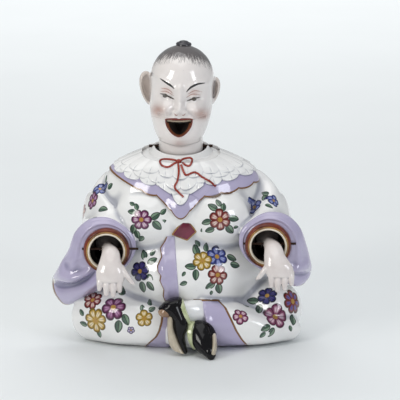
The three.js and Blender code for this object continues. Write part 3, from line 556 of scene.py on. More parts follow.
# Each spray, by the side it is seen from: x, height in the view, bloom radius, petals, colour, and its
# leaves, each as an angle in degrees, a distance from the bloom and a length.
SPRAYS = {"front": [
    (-27, 75, 6.2, 6, "magenta", [(120, 12.5, 3), (110, 9.5, 3.5), (140, 8.5, 4), (15, 10, 5),
     (20, 16, 3.5), (-5, 15, 3), (-20, 11.5, 5.5), (-130, 8.5, 5), (-105, 10.5, 4.5), (-90, 13, 4)]),
    (26.5, 75, 6.6, 6, "red", [(120, 10, 5), (95, 11.5, 4), (75, 9, 4), (-170, 9.5, 4.5),
     (-150, 14, 2.5), (-135, 10, 4.5), (5, 9.5, 5), (-45, 9.5, 5.5), (-25, 12, 2.5)]),
    (-28, 40, 6.2, 6, "navy", [(55, 15.5, 3.5), (75, 11.5, 5), (40, 11, 5), (-35, 8.5, 4.5),
     (-80, 11, 5.5), (-55, 12.5, 5)]),
    (24.5, 50, 6.6, 6, "blue", [(-5, 10, 5), (-25, 13.5, 5)]),
    (14.5, 47, 6.0, 6, "yellow", [(120, 8.5, 5.5), (105, 12.5, 3.5), (75, 9.5, 4), (-155, 9, 5),
     (-115, 10.5, 5), (-145, 15.5, 2.5), (-130, 20, 3.5)]),
    (25, 37.5, 6.2, 6, "red", [(-125, 9, 5), (-85, 9.5, 5.5), (-110, 13, 2.5)]),
    (-60, 20.5, 6.2, 6, "red", [(140, 9, 4.5), (105, 8.5, 4.5)]),
    (-46, 15.5, 7.6, 6, "purple", [(85, 11, 4), (60, 12.5, 5), (-45, 12, 5.5), (-75, 13.5, 6)]),
    (-58, 6.5, 7.6, 7, "yellow", [(150, 11, 3.5), (-165, 8.5, 4), (-75, 9.5, 4)]),
    (-25, 8, 5.2, 5, "yellow", [(70, 11, 3.5), (100, 7.5, 3.5), (50, 8.5, 4)]),
    (-34, 0, 2.4, 5, "violet", []),
    (58.5, 23.5, 6.2, 6, "navy", [(-160, 10.5, 5.5), (-120, 11, 5.5), (-155, 16, 3.5), (30, 14, 4)]),
    (76, 19.5, 7.6, 7, "red_blue", [(-90, 12.5, 5.5), (-65, 12.5, 5), (-95, 18.5, 3)]),
    (64, 9, 7.6, 5, "pink", [(-130, 10, 5), (-105, 11, 5), (-125, 15, 3.5)]),
    (40.5, 9.5, 5.0, 5, "pink", []),
    (-55, 96, 4.6, 5, "blue", [(60, 8, 4), (15, 7, 4)]),
    (-60, 88, 5.6, 6, "purple", [(-40, 9, 5.5), (175, 8, 4)]),
    (-66.5, 80, 5.0, 6, "red", [(-30, 8, 4)]),
    (50, 83.5, 5.4, 5, "blue", [(45, 10, 5), (5, 10, 4)]),
    (63, 88, 4.4, 5, "blue", [(140, 7.5, 4)]),
], "back": [
    (-22, 74, 6.6, 6, "red", [(120, 10, 5), (75, 9.5, 4.5), (-150, 9.5, 5), (-40, 10, 5)]),
    (26, 70, 6.2, 6, "magenta", [(110, 9.5, 4), (20, 10, 5), (-30, 11, 5), (-125, 9, 5)]),
    (-1, 48, 6.8, 6, "purple", [(140, 11, 5), (40, 10.5, 5), (-60, 12, 5.5)]),
    (-11, 40, 6.0, 6, "yellow", [(-160, 9, 5), (-110, 10, 5), (170, 14, 4)]),
    (36, 36, 6.2, 6, "blue", [(60, 10, 5), (-30, 10, 4.5), (-140, 9.5, 5)]),
    (-42, 34, 6.2, 6, "navy", [(80, 10, 5), (160, 9.5, 5), (-70, 10, 5)]),
    (8, 16, 6.0, 6, "red", [(150, 9.5, 5), (10, 9.5, 5), (-90, 10, 4)]),
    (-66, 72, 5.6, 5, "pink", [(100, 9, 4.5), (-60, 9, 4.5)]),
    (68, 70, 5.6, 6, "red", [(80, 9, 4.5), (-120, 9, 4.5)]),
]}
MAPS = {"bloom": ("bloom_a", "bloom_b", "bloom_c"), "leaf": ("leaf_a", "leaf_b")}
FAR = 5.0  # the map's value where nothing is painted


def paint_sprays(piece):
    """Lays a small map round each bloom and leaf, and stores each bloom's two colours."""
    point, corner = mesh_points(piece), mesh_values(piece, "loops", "vertex_index", 1, int)
    middle, normal = mesh_values(piece, "polygons", "center") / MM, mesh_values(piece, "polygons", "normal")
    count = len(middle)
    face_of_corner = np.repeat(np.arange(count), mesh_values(piece, "polygons", "loop_total", 1, int))
    tree = BVHTree.FromObject(piece, bpy.context.evaluated_depsgraph_get())
    maps = {name: np.full((len(corner), 2), FAR) for names in MAPS.values() for name in names}
    taken = {name: np.zeros(count, bool) for name in maps}
    tints = {name: np.zeros((count, 4)) for name in MAPS["bloom"]}
    hearts = {name: np.zeros((count, 4)) for name in MAPS["bloom"]}

    def place(kind, side, x, height, reach, turn, shape=1.0, tint=None):
        flip = 1 if side == "front" else -1
        centre, facing = seen_on(tree, x, height, side == "back")
        if facing is None:
            return
        across = np.array([flip, 0.0, 0.0]) - facing * facing[0] * flip
        across /= np.linalg.norm(across)
        upward = np.cross(facing, across) * (1 if np.cross(facing, across)[2] > 0 else -1)
        a = across * math.cos(turn) + upward * math.sin(turn)
        b = upward * math.cos(turn) - across * math.sin(turn)
        off = middle - centre
        near = (np.abs(off @ a) < reach + 1.5) & (np.abs(off @ b) < reach * shape + 1.5)
        near &= (np.abs(off @ facing) < 0.8 * reach + 1) & (normal @ facing > 0.05)
        layer = min(MAPS[kind], key=lambda name: np.count_nonzero(taken[name] & near))
        taken[layer] |= near
        corners = near[face_of_corner]
        local = point[corner[corners]] - centre
        maps[layer][corners] = np.stack([local @ a, local @ b], -1) / reach
        if tint:
            petals, outer, inner = tint
            tints[layer][near] = (*colour(outer)[:3], petals / 10)
            hearts[layer][near] = colour(inner)

    order = 0
    for side, sprays in SPRAYS.items():
        for x, height, radius, petals, tint, leaves in sprays:
            for angle, distance, length in leaves:
                turn = math.radians(angle)
                place("leaf", side, x + distance * math.cos(turn), height + distance * math.sin(turn),
                      0.76 * length, turn + 0.5 * math.sin(7 * order + angle), 0.75)
            place("bloom", side, x, height, 1.16 * radius, 0.6 * order, 1.0, (petals, *BLOOMS[tint]))
            order += 1
    for name, values in maps.items():
        piece.data.uv_layers.new(name=name).data.foreach_set("uv", values.ravel())
    for kind, shades in (("tint", tints), ("heart", hearts)):
        for name, values in shades.items():
            store(piece, f"{name}_{kind}", values, "FLOAT_COLOR", "FACE")


def paint_bloom(tree, base, painted, name):
    """Petals with a pale middle and a dark rim, fine veins, and a dotted yellow heart."""
    place = node(tree, "UVMap", uv_map=name)
    tint = node(tree, "Attribute", attribute_name=name + "_tint").outputs
    x, y, _ = node(tree, "SeparateXYZ", {0: place}).outputs
    radius = node(tree, "VectorMath", {0: place}, operation="LENGTH").outputs["Value"]
    half_turns = sums(tree, "MULTIPLY", tint["Alpha"], 5.0)
    phase = sums(tree, "MULTIPLY", sums(tree, "ARCTAN2", y, x), half_turns)
    lobe = sums(tree, "ABSOLUTE", sums(tree, "COSINE", phase))
    edge = ramp(tree, sums(tree, "POWER", lobe, 0.5), 0.0, 1.0, 0.72)
    share = sums(tree, "DIVIDE", radius, edge)
    inside = ramp(tree, share, 1.0, 0.95)
    band = sums(tree, "MULTIPLY", ramp(tree, share, 0.8, 0.62), ramp(tree, share, 0.26, 0.42))
    pale = sums(tree, "MULTIPLY", band, ramp(tree, lobe, 0.45, 0.9, 0.0, 0.8))
    petal = mixed(tree, pale, tint["Color"], stored(tree, name + "_heart", "Color"))
    vein = ramp(tree, sums(tree, "COSINE", sums(tree, "MULTIPLY", phase, 6.0)), 0.3, 1.0, 0.0, 0.6)
    cleft, rim = ramp(tree, lobe, 0.3, 0.14, 0.0, 0.95), ramp(tree, share, 0.78, 0.86, 0.0, 0.9)
    dark = sums(tree, "MAXIMUM", sums(tree, "MAXIMUM", vein, cleft), rim)
    deep = node(tree, "VectorMath", {0: tint["Color"], "Scale": 0.2}, operation="SCALE")
    dots = node(tree, "TexVoronoi", {"Vector": place, "Scale": 7.0}).outputs["Distance"]
    heart = mixed(tree, ramp(tree, dots, 0.2, 0.35), "#35202a", "#b3893c")
    bloom = mixed(tree, ramp(tree, radius, 0.24, 0.17), mixed(tree, dark, petal, deep), heart)
    return mixed(tree, inside, base, bloom), sums(tree, "MAXIMUM", painted, inside)


def paint_leaf(tree, base, painted, name):
    """An egg-shaped leaf, dark at its outline and midrib, one half lit more than the other."""
    x, y, _ = node(tree, "SeparateXYZ", {0: node(tree, "UVMap", uv_map=name)}).outputs
    rest = sums(tree, "SUBTRACT", 1.0, sums(tree, "MULTIPLY", x, x), use_clamp=True)
    half = sums(tree, "MULTIPLY", sums(tree, "POWER", rest, 0.6), ramp(tree, x, -1.0, 1.0, 0.76, 0.52))
    across = sums(tree, "ABSOLUTE", y)
    depth = sums(tree, "SUBTRACT", half, across)
    inside = ramp(tree, depth, 0.0, 0.05)
    green = mixed(tree, ramp(tree, y, -0.2, 0.35), "#3a5646", "#7f9880")
    dark = sums(tree, "MAXIMUM", ramp(tree, depth, 0.24, 0.14), ramp(tree, across, 0.09, 0.04))
    leaf = mixed(tree, dark, green, "#24342b")
    return mixed(tree, inside, base, leaf), sums(tree, "MAXIMUM", painted, inside)


# The brown line of each trouser hem in the view: heights, and x at each height. The legs' hems lie
# in front of LEG_Y and below LEG_Z, and end at these heights in the view.
RIGHT_HEM = ((-11.4, -7.2, -4.6, -0.4, 5.6, 12), (-24.5, -19.9, -16.9, -14.7, -13.1, -12.6))
RIGHT_HEM_TOP, LEFT_HEM_TOP, LEG_Y, LEG_Z = 14, 20.3, -34, 36
LEFT_HEM = ((-11, -6.4, -0.4, 7.9, 15.5, 20), (45.4, 41.3, 37.5, 33.7, 29.9, 25.4))


def hem_field(piece):
    """How far each point of the trouser legs lies inside its lavender hem; far outside elsewhere."""
    point = mesh_points(piece)
    x, height = in_view(point)
    right = np.where((x < 5) & (height < RIGHT_HEM_TOP), x - np.interp(height, *RIGHT_HEM), -9)
    left = np.where(x > 8, np.interp(height, *LEFT_HEM) - x, -9)
    left = np.minimum(left, LEFT_HEM_TOP - height)
    low_front = (point[:, 1] < LEG_Y) & (point[:, 2] < LEG_Z)
    store(piece, "hem", np.where(low_front, np.maximum(right, left), -9))


paint_sprays(robe)
hem_field(robe)
painted_porcelain, tree = new_material("flowered glazed porcelain")
bare_and_shaded, hem = stored(tree, "inside"), stored(tree, "hem")
paint = ramp(tree, sums(tree, "ABSOLUTE", hem), 0.9, 0.65)
ground = mixed(tree, paint, mixed(tree, ramp(tree, hem, 0.0, 0.3), WHITE, LAVENDER), GILT)
for painter, layers in ((paint_leaf, MAPS["leaf"]), (paint_bloom, MAPS["bloom"])):
    for layer in layers:
        ground, paint = painter(tree, ground, paint, layer)
# Inside the neck and cuffs the robe is bare of glass and painted near black as shade.
finish_glaze(tree, mixed(tree, bare_and_shaded, ground, INSIDE_SHADE), paint, dull_share=bare_and_shaded)
dress(robe, painted_porcelain)

# The facings: the lavender lining of each wide sleeve, turned out round the cuff in a soft roll.
# They are part of the casting and enamelled in one flat wash, with a thin brown edge low down.
NO_LINE = 9.0  # stored where no edge line runs


def lilac(tree):
    """Lavender enamel, thin and cloudy as the brush left it."""
    return mixed(tree, noise(tree, 60.0, 3.0), "#a9a0c2", "#c2bbd3")


def give_edge(piece, values):
    """Stores how far points lie from a brown edge line. Points past the given values have no line."""
    rest = np.full(len(piece.data.vertices) - values.size, NO_LINE)
    store(piece, "edge", np.r_[values.ravel(), rest])


lavender_enamel, tree = new_material("lavender enamel on glaze")
finish_glaze(tree, mixed(tree, ramp(tree, stored(tree, "edge"), 1.3, 1.0), lilac(tree), GILT))
for hand, (_, lining) in sleeves.items():
    lip = lining[0] + (lining[0] - lining[3]) * 0.12 + np.array([0, 1.2, 0])
    back = lining[::-1] + np.array([0, 2.4, 0])
    back[-1] += (lining[3] - lining[0]) * 0.15
    facing = skin(f"{hand}_sleeve_facing", np.concatenate([lip[None], lining, back]), loop=True)
    rim_line = np.full((1 + 2 * len(lining), lining.shape[1]), NO_LINE)
    rim_line[:3, lining[0, :, 2] < 40] = 0.0
    give_edge(facing, rim_line)
    # Painted shade in the folds of the lining.
    mark_crease_shade(facing, 12, 1.6)
    dress(facing, lavender_enamel)

# Round cuffs inside the sleeves: an iron-red roll, a gilt thread and a white lip. Each is turned
# with the casting and hollow, so that the wrist can swing inside it.


def settled(made, scale):
    """Applies a new primitive's place, turn and scale to its mesh."""
    made.scale = scale
    bpy.ops.object.transform_apply(location=True, rotation=True, scale=True)
    made.data.shade_smooth()
    return made


def ring(name, centre, radius, thickness, depth, turn_x=90.0):
    """A rounded ring. Its axis lies along Y, or stays along Z without the turn."""
    bpy.ops.object.select_all(action="DESELECT")
    bpy.ops.mesh.primitive_torus_add(
        major_radius=radius * MM, minor_radius=thickness * MM, major_segments=96, minor_segments=24,
        location=[c * MM for c in centre], rotation=(math.radians(turn_x), 0, 0),
    )
    made = bpy.context.object
    made.name = made.data.name = name
    return settled(made, (1, 1, depth / thickness))


def plain_glaze(name, thin, thick, **finish):
    """One enamel colour, brushed on a little unevenly."""
    material, tree = new_material(name)
    finish_glaze(tree, mixed(tree, ramp(tree, noise(tree, 120.0, 4.0), 0.35, 0.65), thin, thick), **finish)
    return material


iron_red = plain_glaze("iron red enamel", "#4a2015", "#7c3420", coat=0.15, shine=0.35)
gilding = plain_glaze("worn gilding", "#6b4a28", "#b08548", roughness=0.2, coat=0.1)
cream_glaze = plain_glaze("cream glaze", "#d8cdb9", "#e8dfd0")
ROLLS = [  # name, set back from the cuff's middle, radius, thickness, depth and glaze
    ("roll", 0.6, 14.0, 1.5, 3.6, iron_red),
    ("gilt", -2.2, 12.9, 0.8, 1.2, gilding),
    ("lip", -1.6, 11.9, 0.9, 2.2, cream_glaze),
]
for hand, ((x, y, z), *_) in CUFFS.items():
    for name, back, radius, thickness, depth, material in ROLLS:
        dress(ring(f"{hand}_cuff_{name}", (x, y + back, z), radius, thickness, depth), material)

# The collar: a cape with a lavender border and, over it, tiers of white petals, modelled by hand
# in low relief on the shoulders. Its lower edge is scalloped and drawn with a brown line.
PETALS = 20
TIERS = [  # the lower edge's height and its drop at the front, spread, rise, lift, lobe, shift
    (117.5, 3, 26, 0.45, 3.7, 2.4, 0.5),
    (113.4, 6, 20, 0.7, 3.0, 2.8, 0.0),
    (109.2, 10, 13, 1.0, 2.3, 3.2, 0.5),
]
CAPE_EDGE, CAPE_DROP, CAPE_SPREAD = 102, 12.6, 14
COLLAR_COLUMNS, COLLAR_ROWS = 1000, 110
phi = around(COLLAR_COLUMNS, -math.pi)
shoulder = np.abs(np.sin(phi)) ** 3


def front_point(drop, spread):
    """How much lower an edge is where it runs to a point at the front."""
    return drop * hump(np.degrees(phi), spread)


cape_edge = CAPE_EDGE - front_point(CAPE_DROP, CAPE_SPREAD) + np.where(phi < 0, 13, 5) * shoulder
scalloped = 1 / (1 + np.exp(-(np.degrees(phi) + 43) / 2)) + (np.degrees(phi) < -100)
cape_edge = cape_edge - 1.5 * scalloped * (np.abs(np.cos(11 * phi)) ** 0.7 - 0.5)
collar_top = rim_top(phi) - 3
share = np.linspace(0, 1, COLLAR_ROWS)[:, None]
collar_z = collar_top + (cape_edge - collar_top) * share
lift = np.full(collar_z.shape, 1.4)
white_from = np.full(collar_z.shape, -9.0)
for order, (side, drop, spread, rise, tier_lift, lobe, shift) in enumerate(reversed(TIERS)):
    a = 2 * np.mod(PETALS * phi / (2 * math.pi) + shift, 1) - 1
    uneven = 0.8 * np.sin(3 * phi + order) + 0.6 * np.sin(7 * phi + 2 * order)
    end = side - front_point(drop, spread) + np.where(phi < 0, 8, 5) * rise * shoulder
    end = end + uneven * (np.abs(np.degrees(phi)) > 25) + lobe * (0.7 - np.sqrt(1 - 0.97 * a**2))
    over = np.clip((collar_z - end) / 0.8, 0, 1)
    over = over * over * (3 - 2 * over)
    slit = hump(a, 0.09) * np.clip((end + 5 - collar_z) / 3, 0, 1)
    body = tier_lift + 0.7 * (1 - a**2) - 0.5 * slit - 0.04 * np.clip(collar_z - end - 1.5, 0, 20)
    lift = lift * (1 - over) + body * over
    white_from = np.maximum(white_from, np.clip(collar_z - end, -9, 9))
outer = on_trunk(phi[None, :], collar_z, lift)
under = np.stack([on_trunk(phi, cape_edge + 0.6, -1.5), on_trunk(phi, collar_top - 5, -2.5)])
collar = skin("petal_collar", np.concatenate([outer, under]), loop=True)
for name, values in (("white_from", white_from), ("from_edge", collar_z - cape_edge)):
    store(collar, name, np.concatenate([values, np.zeros((2, COLLAR_COLUMNS))]))
collar_glaze, tree = new_material("white petals and lavender border")
two = mixed(tree, ramp(tree, stored(tree, "white_from"), -0.2, 0.2), lilac(tree), WHITE)
finish_glaze(tree, mixed(tree, ramp(tree, stored(tree, "from_edge"), 1.2, 0.9), two, GILT))
# Painted shade in the steps between the petals.
mark_crease_shade(collar, 30, 3.0)
dress(collar, collar_glaze)

# The rim of the neck opening: a white ring that the head's iron rod rests on, in two notches.
RIM_PROFILE = np.array([  # radius, and height from the rim's top
    (17.3, -17), (17.3, -1.3), (17.5, -0.5), (18.1, 0), (18.8, -0.2), (19.4, -1), (20.4, -2.6),
    (22.4, -4.6), (22.4, -17),
])
HEAD_PIN_Z = 129.4
turns = around(160, -math.pi)
rim_rings = about_neck(turns, RIM_PROFILE[:, 1:] + rim_top(turns), RIM_PROFILE[:, :1])
rim = skin("neck_rim", rim_rings, loop=True)
notch = cutter("notch", [(0.1, -26), (1.5, -26), (1.5, 26), (0.1, 26)], (0, 0, 0))
along_pin = Matrix.Rotation(math.pi / 2, 4, "Y")
notch.data.transform(Matrix.Translation((0, NECK_Y * MM, HEAD_PIN_Z * MM)) @ along_pin)
cut(rim, notch)
rim.data.shade_smooth()
inside_faces(rim)
rim_glaze, tree = new_material("white glaze, bare and shade-dark inside the neck")
# Inside the neck the rim is bare of glass and painted near black as shade.
bare_and_shaded = stored(tree, "inside")
finish_glaze(tree, mixed(tree, bare_and_shaded, WHITE, INSIDE_SHADE), dull_share=bare_and_shaded)
dress(rim, rim_glaze)

# The border down the front of the robe: a lavender strip puffed in soft ruffles, with a scalloped
# left edge drawn in brown.
STRIP_TOP, STRIP_DROP = 76, 52
# The strip's left edge, by height, as the ruffles leave it.
STRIP_EDGE = ((24, 32.3, 36.7, 42, 48, 51.5, 54, 57.5, 63, 68, 72.7, 76),
              (-10.2, -10.5, -11.9, -11.5, -14.1, -13.4, -15.4, -15.6, -12.9, -13.7, -10.8, -9.5))
down, across = np.meshgrid(np.linspace(0, 1, 160), np.linspace(0, 1, 40), indexing="ij")
strip_z = STRIP_TOP - STRIP_DROP * down
left_edge = np.interp(strip_z, *STRIP_EDGE)
strip_x = left_edge + (4 * down - 4 - left_edge) * across
puff = 1.3 * np.abs(np.sin(3.5 * math.pi * down + 0.6)) ** 0.7 * hump(across - 0.35, 0.22)
bevel = np.minimum(1, np.minimum(across, 1 - across) * 12)
strip_front = on_front(strip_x, strip_z, 0.35 + 0.9 * np.sqrt(bevel) * (1 - 0.5 * across) + puff)
strip_back = on_front(strip_x[:, ::-1], strip_z, -2.0)
border = skin("front_border", np.concatenate([strip_front, strip_back], 1))
give_edge(border, np.concatenate([strip_x - left_edge, np.full(strip_x.shape, NO_LINE)], 1))
dress(border, lavender_enamel)

# The clasp under the collar's point: a five-sided boss with a bevelled face, luted on to the robe,
# in dark magenta enamel with a gilt rim.
CLASP_X, CLASP_Z = 1.5, 81
CLASP = [(-0.5, 6.5), (-7.6, -3.7), (2.9, -7.9), (9.4, -1.6), (5, 5.5)]


def plate(name, outline, y_back, y_front, bevel, inset=0.0):
    """A flat plate standing in the XZ plane, its outline shrunk by inset, its edges bevelled."""
    bpy.ops.object.select_all(action="DESELECT")
    bpy.ops.mesh.primitive_circle_add(vertices=len(outline), fill_type="NGON")
    made = bpy.context.object
    made.name = made.data.name = name
    middle = np.mean(outline, 0)
    for vertex, corner in zip(made.data.vertices, outline):
        away = (np.array(corner) - middle) / np.linalg.norm(np.array(corner) - middle)
        x, z = np.array(corner) - away * inset
        vertex.co = (x * MM, y_back * MM, z * MM)
    bpy.ops.object.mode_set(mode="EDIT")
    bpy.ops.mesh.select_all(action="SELECT")
    bpy.ops.mesh.extrude_region_move(TRANSFORM_OT_translate={"value": (0, (y_front - y_back) * MM, 0)})
    bpy.ops.mesh.select_all(action="SELECT")
    bpy.ops.mesh.normals_make_consistent(inside=False)
    bpy.ops.object.mode_set(mode="OBJECT")
    apply_modifier(made, "BEVEL", width=bevel * MM, segments=4, limit_method="ANGLE")
    bpy.ops.object.shade_smooth_by_angle(angle=math.radians(40))
    return made


outline = [(CLASP_X + x, CLASP_Z + z) for x, z in CLASP]
front_y = on_front(CLASP_X, CLASP_Z)[1]
magenta = plain_glaze("magenta enamel", "#571428", "#75223c", coat=0.3)
dress(plate("clasp_setting", outline, front_y + 8, front_y - 1.2, 0.8), gilding)
dress(plate("clasp_face", outline, front_y + 8, front_y - 1.9, 0.7, inset=1.1), magenta)

# The ribbon: a thin flat roll of clay tied in a bow, laid on the collar and painted iron red.
# Its strands run through points given as x and the height in the view.
ROUTES = [
    [(-2, 114.9), (-6.1, 115.9), (-11.6, 116.2), (-14.3, 115), (-12.9, 111.8), (-8.8, 110.7), (-4.8, 112.9),
     (-2, 114.2)],
    [(-0.7, 114.9), (2, 116.4), (6.1, 117), (7.6, 115.4), (6.1, 111.8), (3.4, 111.8), (0.7, 113.9)],
    [(-2, 114.2), (-1.5, 107.1), (-2.4, 101.5), (-4.3, 97), (-1.6, 93.5), (1.6, 90.2)],
    [(0, 112.2), (2.3, 106.2), (4.4, 105.4), (9.5, 107.1), (14.6, 103.7), (19.5, 101), (23.5, 97.6)],
]
ribbon_red = plain_glaze("red ribbon enamel", "#84241a", "#a33a28", coat=0.3)
collar_tree = BVHTree.FromObject(collar, bpy.context.evaluated_depsgraph_get())
RIBBON_Y = -25.5  # where a loop stands clear of the collar's top
RIBBON_RADIUS, KNOT_RADIUS, KNOT_AT = 0.72, 1.7, (-1.5, 114.6)


def on_collar(x, height, lift):
    """The point of the collar's front that is seen at x and height, a little proud of it."""
    hit, facing = seen_on(collar_tree, x, height)
    if facing is None or hit[1] > -15:
        eye = VIEW_MIDDLE + TOWARDS * VIEW_DISTANCE
        return eye + (hit - eye) * ((RIBBON_Y - eye[1]) / (hit[1] - eye[1]))
    return hit + facing * lift


strands = []
for order, route in enumerate(ROUTES):
    path = spline(np.array(route, float), np.linspace(0, 1, 12 * len(route)))
    curve = bpy.data.curves.new(f"ribbon_{order}", "CURVE")
    curve.dimensions = "3D"
    curve.bevel_depth = RIBBON_RADIUS * MM
    curve.bevel_resolution = 3
    curve.use_fill_caps = True
    line = curve.splines.new("POLY")
    line.points.add(len(path) - 1)
    for knot, (x, height) in zip(line.points, path):
        knot.co = (*(on_collar(x, height, 0.35) * MM), 1)
    strand = bpy.data.objects.new(f"ribbon_{order}", curve)
    bpy.context.collection.objects.link(strand)
    pick(strand)
    bpy.ops.object.convert(target="MESH")
    strands.append(bpy.context.object)
bpy.ops.object.select_all(action="DESELECT")
bpy.ops.mesh.primitive_uv_sphere_add(segments=24, ring_count=16, radius=KNOT_RADIUS * MM,
                                     location=on_collar(*KNOT_AT, 0.5) * MM)
knot = settled(bpy.context.object, (1.15, 0.8, 1))
bow = joined([*strands, knot], "ribbon_bow")
bow.data.shade_smooth()
dress(bow, ribbon_red)

# The feet: the left foot lies over the right one. White ankles with a pale green trim go into black
# shoes with cream soles and turned-up toes, all cast with the body and painted.
white_glaze = plain_glaze("white glaze", WHITE, "#e6e6e8")
black_enamel = plain_glaze("black enamel", "#08070a", "#121013", coat=0.1, shine=0.25)
sole_glaze = plain_glaze("cream sole glaze", "#b3a58f", "#cfc4b0")
tan_glaze = plain_glaze("tan heel glaze", "#7d5c45", "#a98b70")
green_trim = plain_glaze("pale green enamel", "#a9b184", "#ccd2a8")
FEET = [  # name, glaze, rows, columns, depth of the rounded ends, and sections as in loft
    ("left_ankle", white_glaze, 30, 48, (0, 3), [
        ((21, -43, 24), (0, 0, 5.5), (0, -6, 0)), ((13, -47.5, 26.4), (0, 0, 7.8), (0, -7, 0)),
        ((1, -52, 27.4), (0, 0, 7.4), (0, -6.6, 0))]),
    ("left_ankle_trim", green_trim, 8, 48, (0.6, 0.6), [
        ((2.4, -53.5, 27.2), (-3.2, 0, 8.9), (0, -7.6, 0)),
        ((4.6, -53, 27.6), (-3.2, 0, 8.9), (0, -7.6, 0))]),
    ("left_shoe", black_enamel, 60, 56, (3, 2), [
        ((-5.8, -55, 35), (6.8, 0.6, 1.8), (0.6, -6.2, 0)),
        ((-6.6, -55.5, 32.4), (8, 0.6, 1.6), (0.6, -6.6, 0)),
        ((-3.8, -56, 29.4), (6.3, 0.6, 1.2), (0.6, -6.8, 0)),
        ((-0.9, -57, 24.8), (5, 0.6, 0.6), (0.6, -6.8, 0)),
        ((0.1, -58, 19.3), (5.2, 0.6, -0.6), (0.6, -6.4, 0)),
        ((-0.3, -59, 14.3), (3.4, 0.6, -0.4), (0.6, -5.6, 0)),
        ((1, -60.5, 8.8), (2.4, 0.6, 0), (0.5, -4.6, 0)), ((2.8, -62, 3.4), (1.7, 0, 0.4), (0.4, -3, 0))]),
    ("left_shoe_heel", tan_glaze, 12, 40, (1.4, 1.4), [
        ((-10.2, -57, 31), (3.6, 0, 0), (0, -4.4, 0)), ((-10.4, -57, 29), (4.6, 0, 0), (0, -5, 0)),
        ((-10, -57, 27), (4.2, 0, 0), (0, -4.6, 0))]),
    ("left_shoe_sole", sole_glaze, 50, 36, (1.5, 1), [
        ((-6.6, -56.5, 26), (2, 0, 0), (0, -5.6, 0)), ((-6.6, -58, 18), (2.4, 0, 0.4), (0, -5.6, 0)),
        ((-4.6, -59, 10), (3.5, 0, 1), (0, -5.2, 0)), ((-1.8, -60.5, 4.6), (3.3, 0, 0.6), (0, -4.2, 0)),
        ((1.2, -62, 2.4), (1.6, 0, 0.2), (0, -2.6, 0))]),
    ("right_ankle", white_glaze, 30, 48, (0, 3), [
        ((-10, -44, 12), (0, 0, 9), (0, -8.5, 0)), ((2, -50, 12), (0, 0, 9), (-3, -8, 0)),
        ((11, -55, 12), (0, 0, 9), (-4.5, -7.5, 0))]),
    ("right_ankle_trim", green_trim, 8, 48, (0.6, 0.6), [
        ((8.6, -54.5, 12.2), (-2, 0.4, 9.8), (-3.8, -8.4, 0)),
        ((11.4, -56, 12), (-2, 0.4, 9.8), (-3.8, -8.2, 0))]),
    ("right_shoe", black_enamel, 60, 56, (4, 2.5), [
        ((10.5, -54, 13), (3.6, 3, 0), (-1.5, 2, 9.2)), ((15.4, -60, 12.2), (7.6, 4, 0), (0, 2, 9.8)),
        ((18.6, -65.5, 8.4), (6, 3, -1), (0, 2, 7.6)), ((20.2, -70, 4.2), (3.2, 1.5, 0), (0, 0, 4))]),
    ("right_shoe_sole", sole_glaze, 40, 36, (2, 1.5), [
        ((22.4, -60, 11), (1.7, 1, 0), (0, -4, 5)), ((22.6, -65, 7), (1.8, 1, 0), (0, -3.6, 4.6)),
        ((21.8, -69.5, 3.6), (1.6, 0.6, 0), (0, -2.4, 3))]),
]
for name, material, rows, columns, ends, sections in FEET:
    foot = skin(name, loft(sections, rows, columns, ends))
    for vertex in foot.data.vertices:  # the cast shoes are flat where they stand
        vertex.co.z = max(vertex.co.z, 0.0)
    dress(foot, material)

# The head: a thin hollow casting with the neck and a long stem below it, which hangs inside the body.
# A round laughing face, bald but for a topknot, in a slightly warmer glaze with the features painted.
# Its lines are given as they are seen from the front: x, and the height in the view.
HEAD_PROFILE = np.array([  # height, half width, half depth, set forward
    [131.8, 4, 6, -9], [134, 12, 13, -6], [137, 15, 17.6, -3.4], [142, 17.5, 20.4, -1.8],
    [148, 19.4, 22, -1], [155, 20.8, 22.8, -0.5], [162, 21.1, 23, 0], [169, 21.1, 23.2, 0],
    [179, 21.3, 23.4, 0], [186, 19, 21.4, 0], [191.5, 15.2, 17.4, 0], [195.5, 10, 11.8, 0],
    [198, 4.3, 5, 0],
])
BROWS = [[(-14.6, 171.2), (-10.1, 168.1), (-7.1, 166.2), (-4.5, 163.9)],
         [(3.4, 161.4), (6.5, 164.7), (11, 167), (16.9, 168)]]
SLITS = [[(-14.3, 160.6), (-11.3, 160), (-6.6, 157.8), (-4.6, 156.8)],
         [(3.9, 155.6), (8, 157.1), (13.3, 158.3)]]
NOSTRILS = [[(-4.7, 147.2), (-3.4, 145.9), (-2.2, 146.1)], [(0.6, 146.1), (1.8, 145.9), (3.1, 147.1)]]
LIDS = [[(-13.8, 162.2), (-9.5, 161.9), (-4.6, 159)], [(3.4, 157.9), (8, 160.3), (13.6, 159.6)]]
CREASES = [[(-13.6, 164.4), (-9, 163.6), (-5.4, 160.7)], [(4.6, 160.2), (9.2, 162.6), (14.4, 161.8)]]
IRISES = [(-10.9, 159.3), (8.9, 157)]
BLUSHES_AND_SHADE = [  # colour, x and height in the view, spread and strength
    ("#b0806f", -16.4, 149.2, 5.2, 0.85), ("#b0806f", 14.6, 146.6, 5.2, 0.8),
    ("#c9a196", -10, 162.8, 3.4, 0.5), ("#c9a196", 9, 161.2, 3.4, 0.5),
    # The last two are painted shade, under the chin and below the lower lip.
    ("#c9a196", -1, 126, 4.5, 0.4), ("#c3a79f", -1.4, 131.4, 2.4, 0.5),
]
SMILE = [[(-4.4, 149.4), (-6.8, 146.9), (-10.5, 145.4), (-15, 146.6)],
         [(2.9, 149), (5.9, 147), (9.8, 145.2), (15.5, 145.6)]]
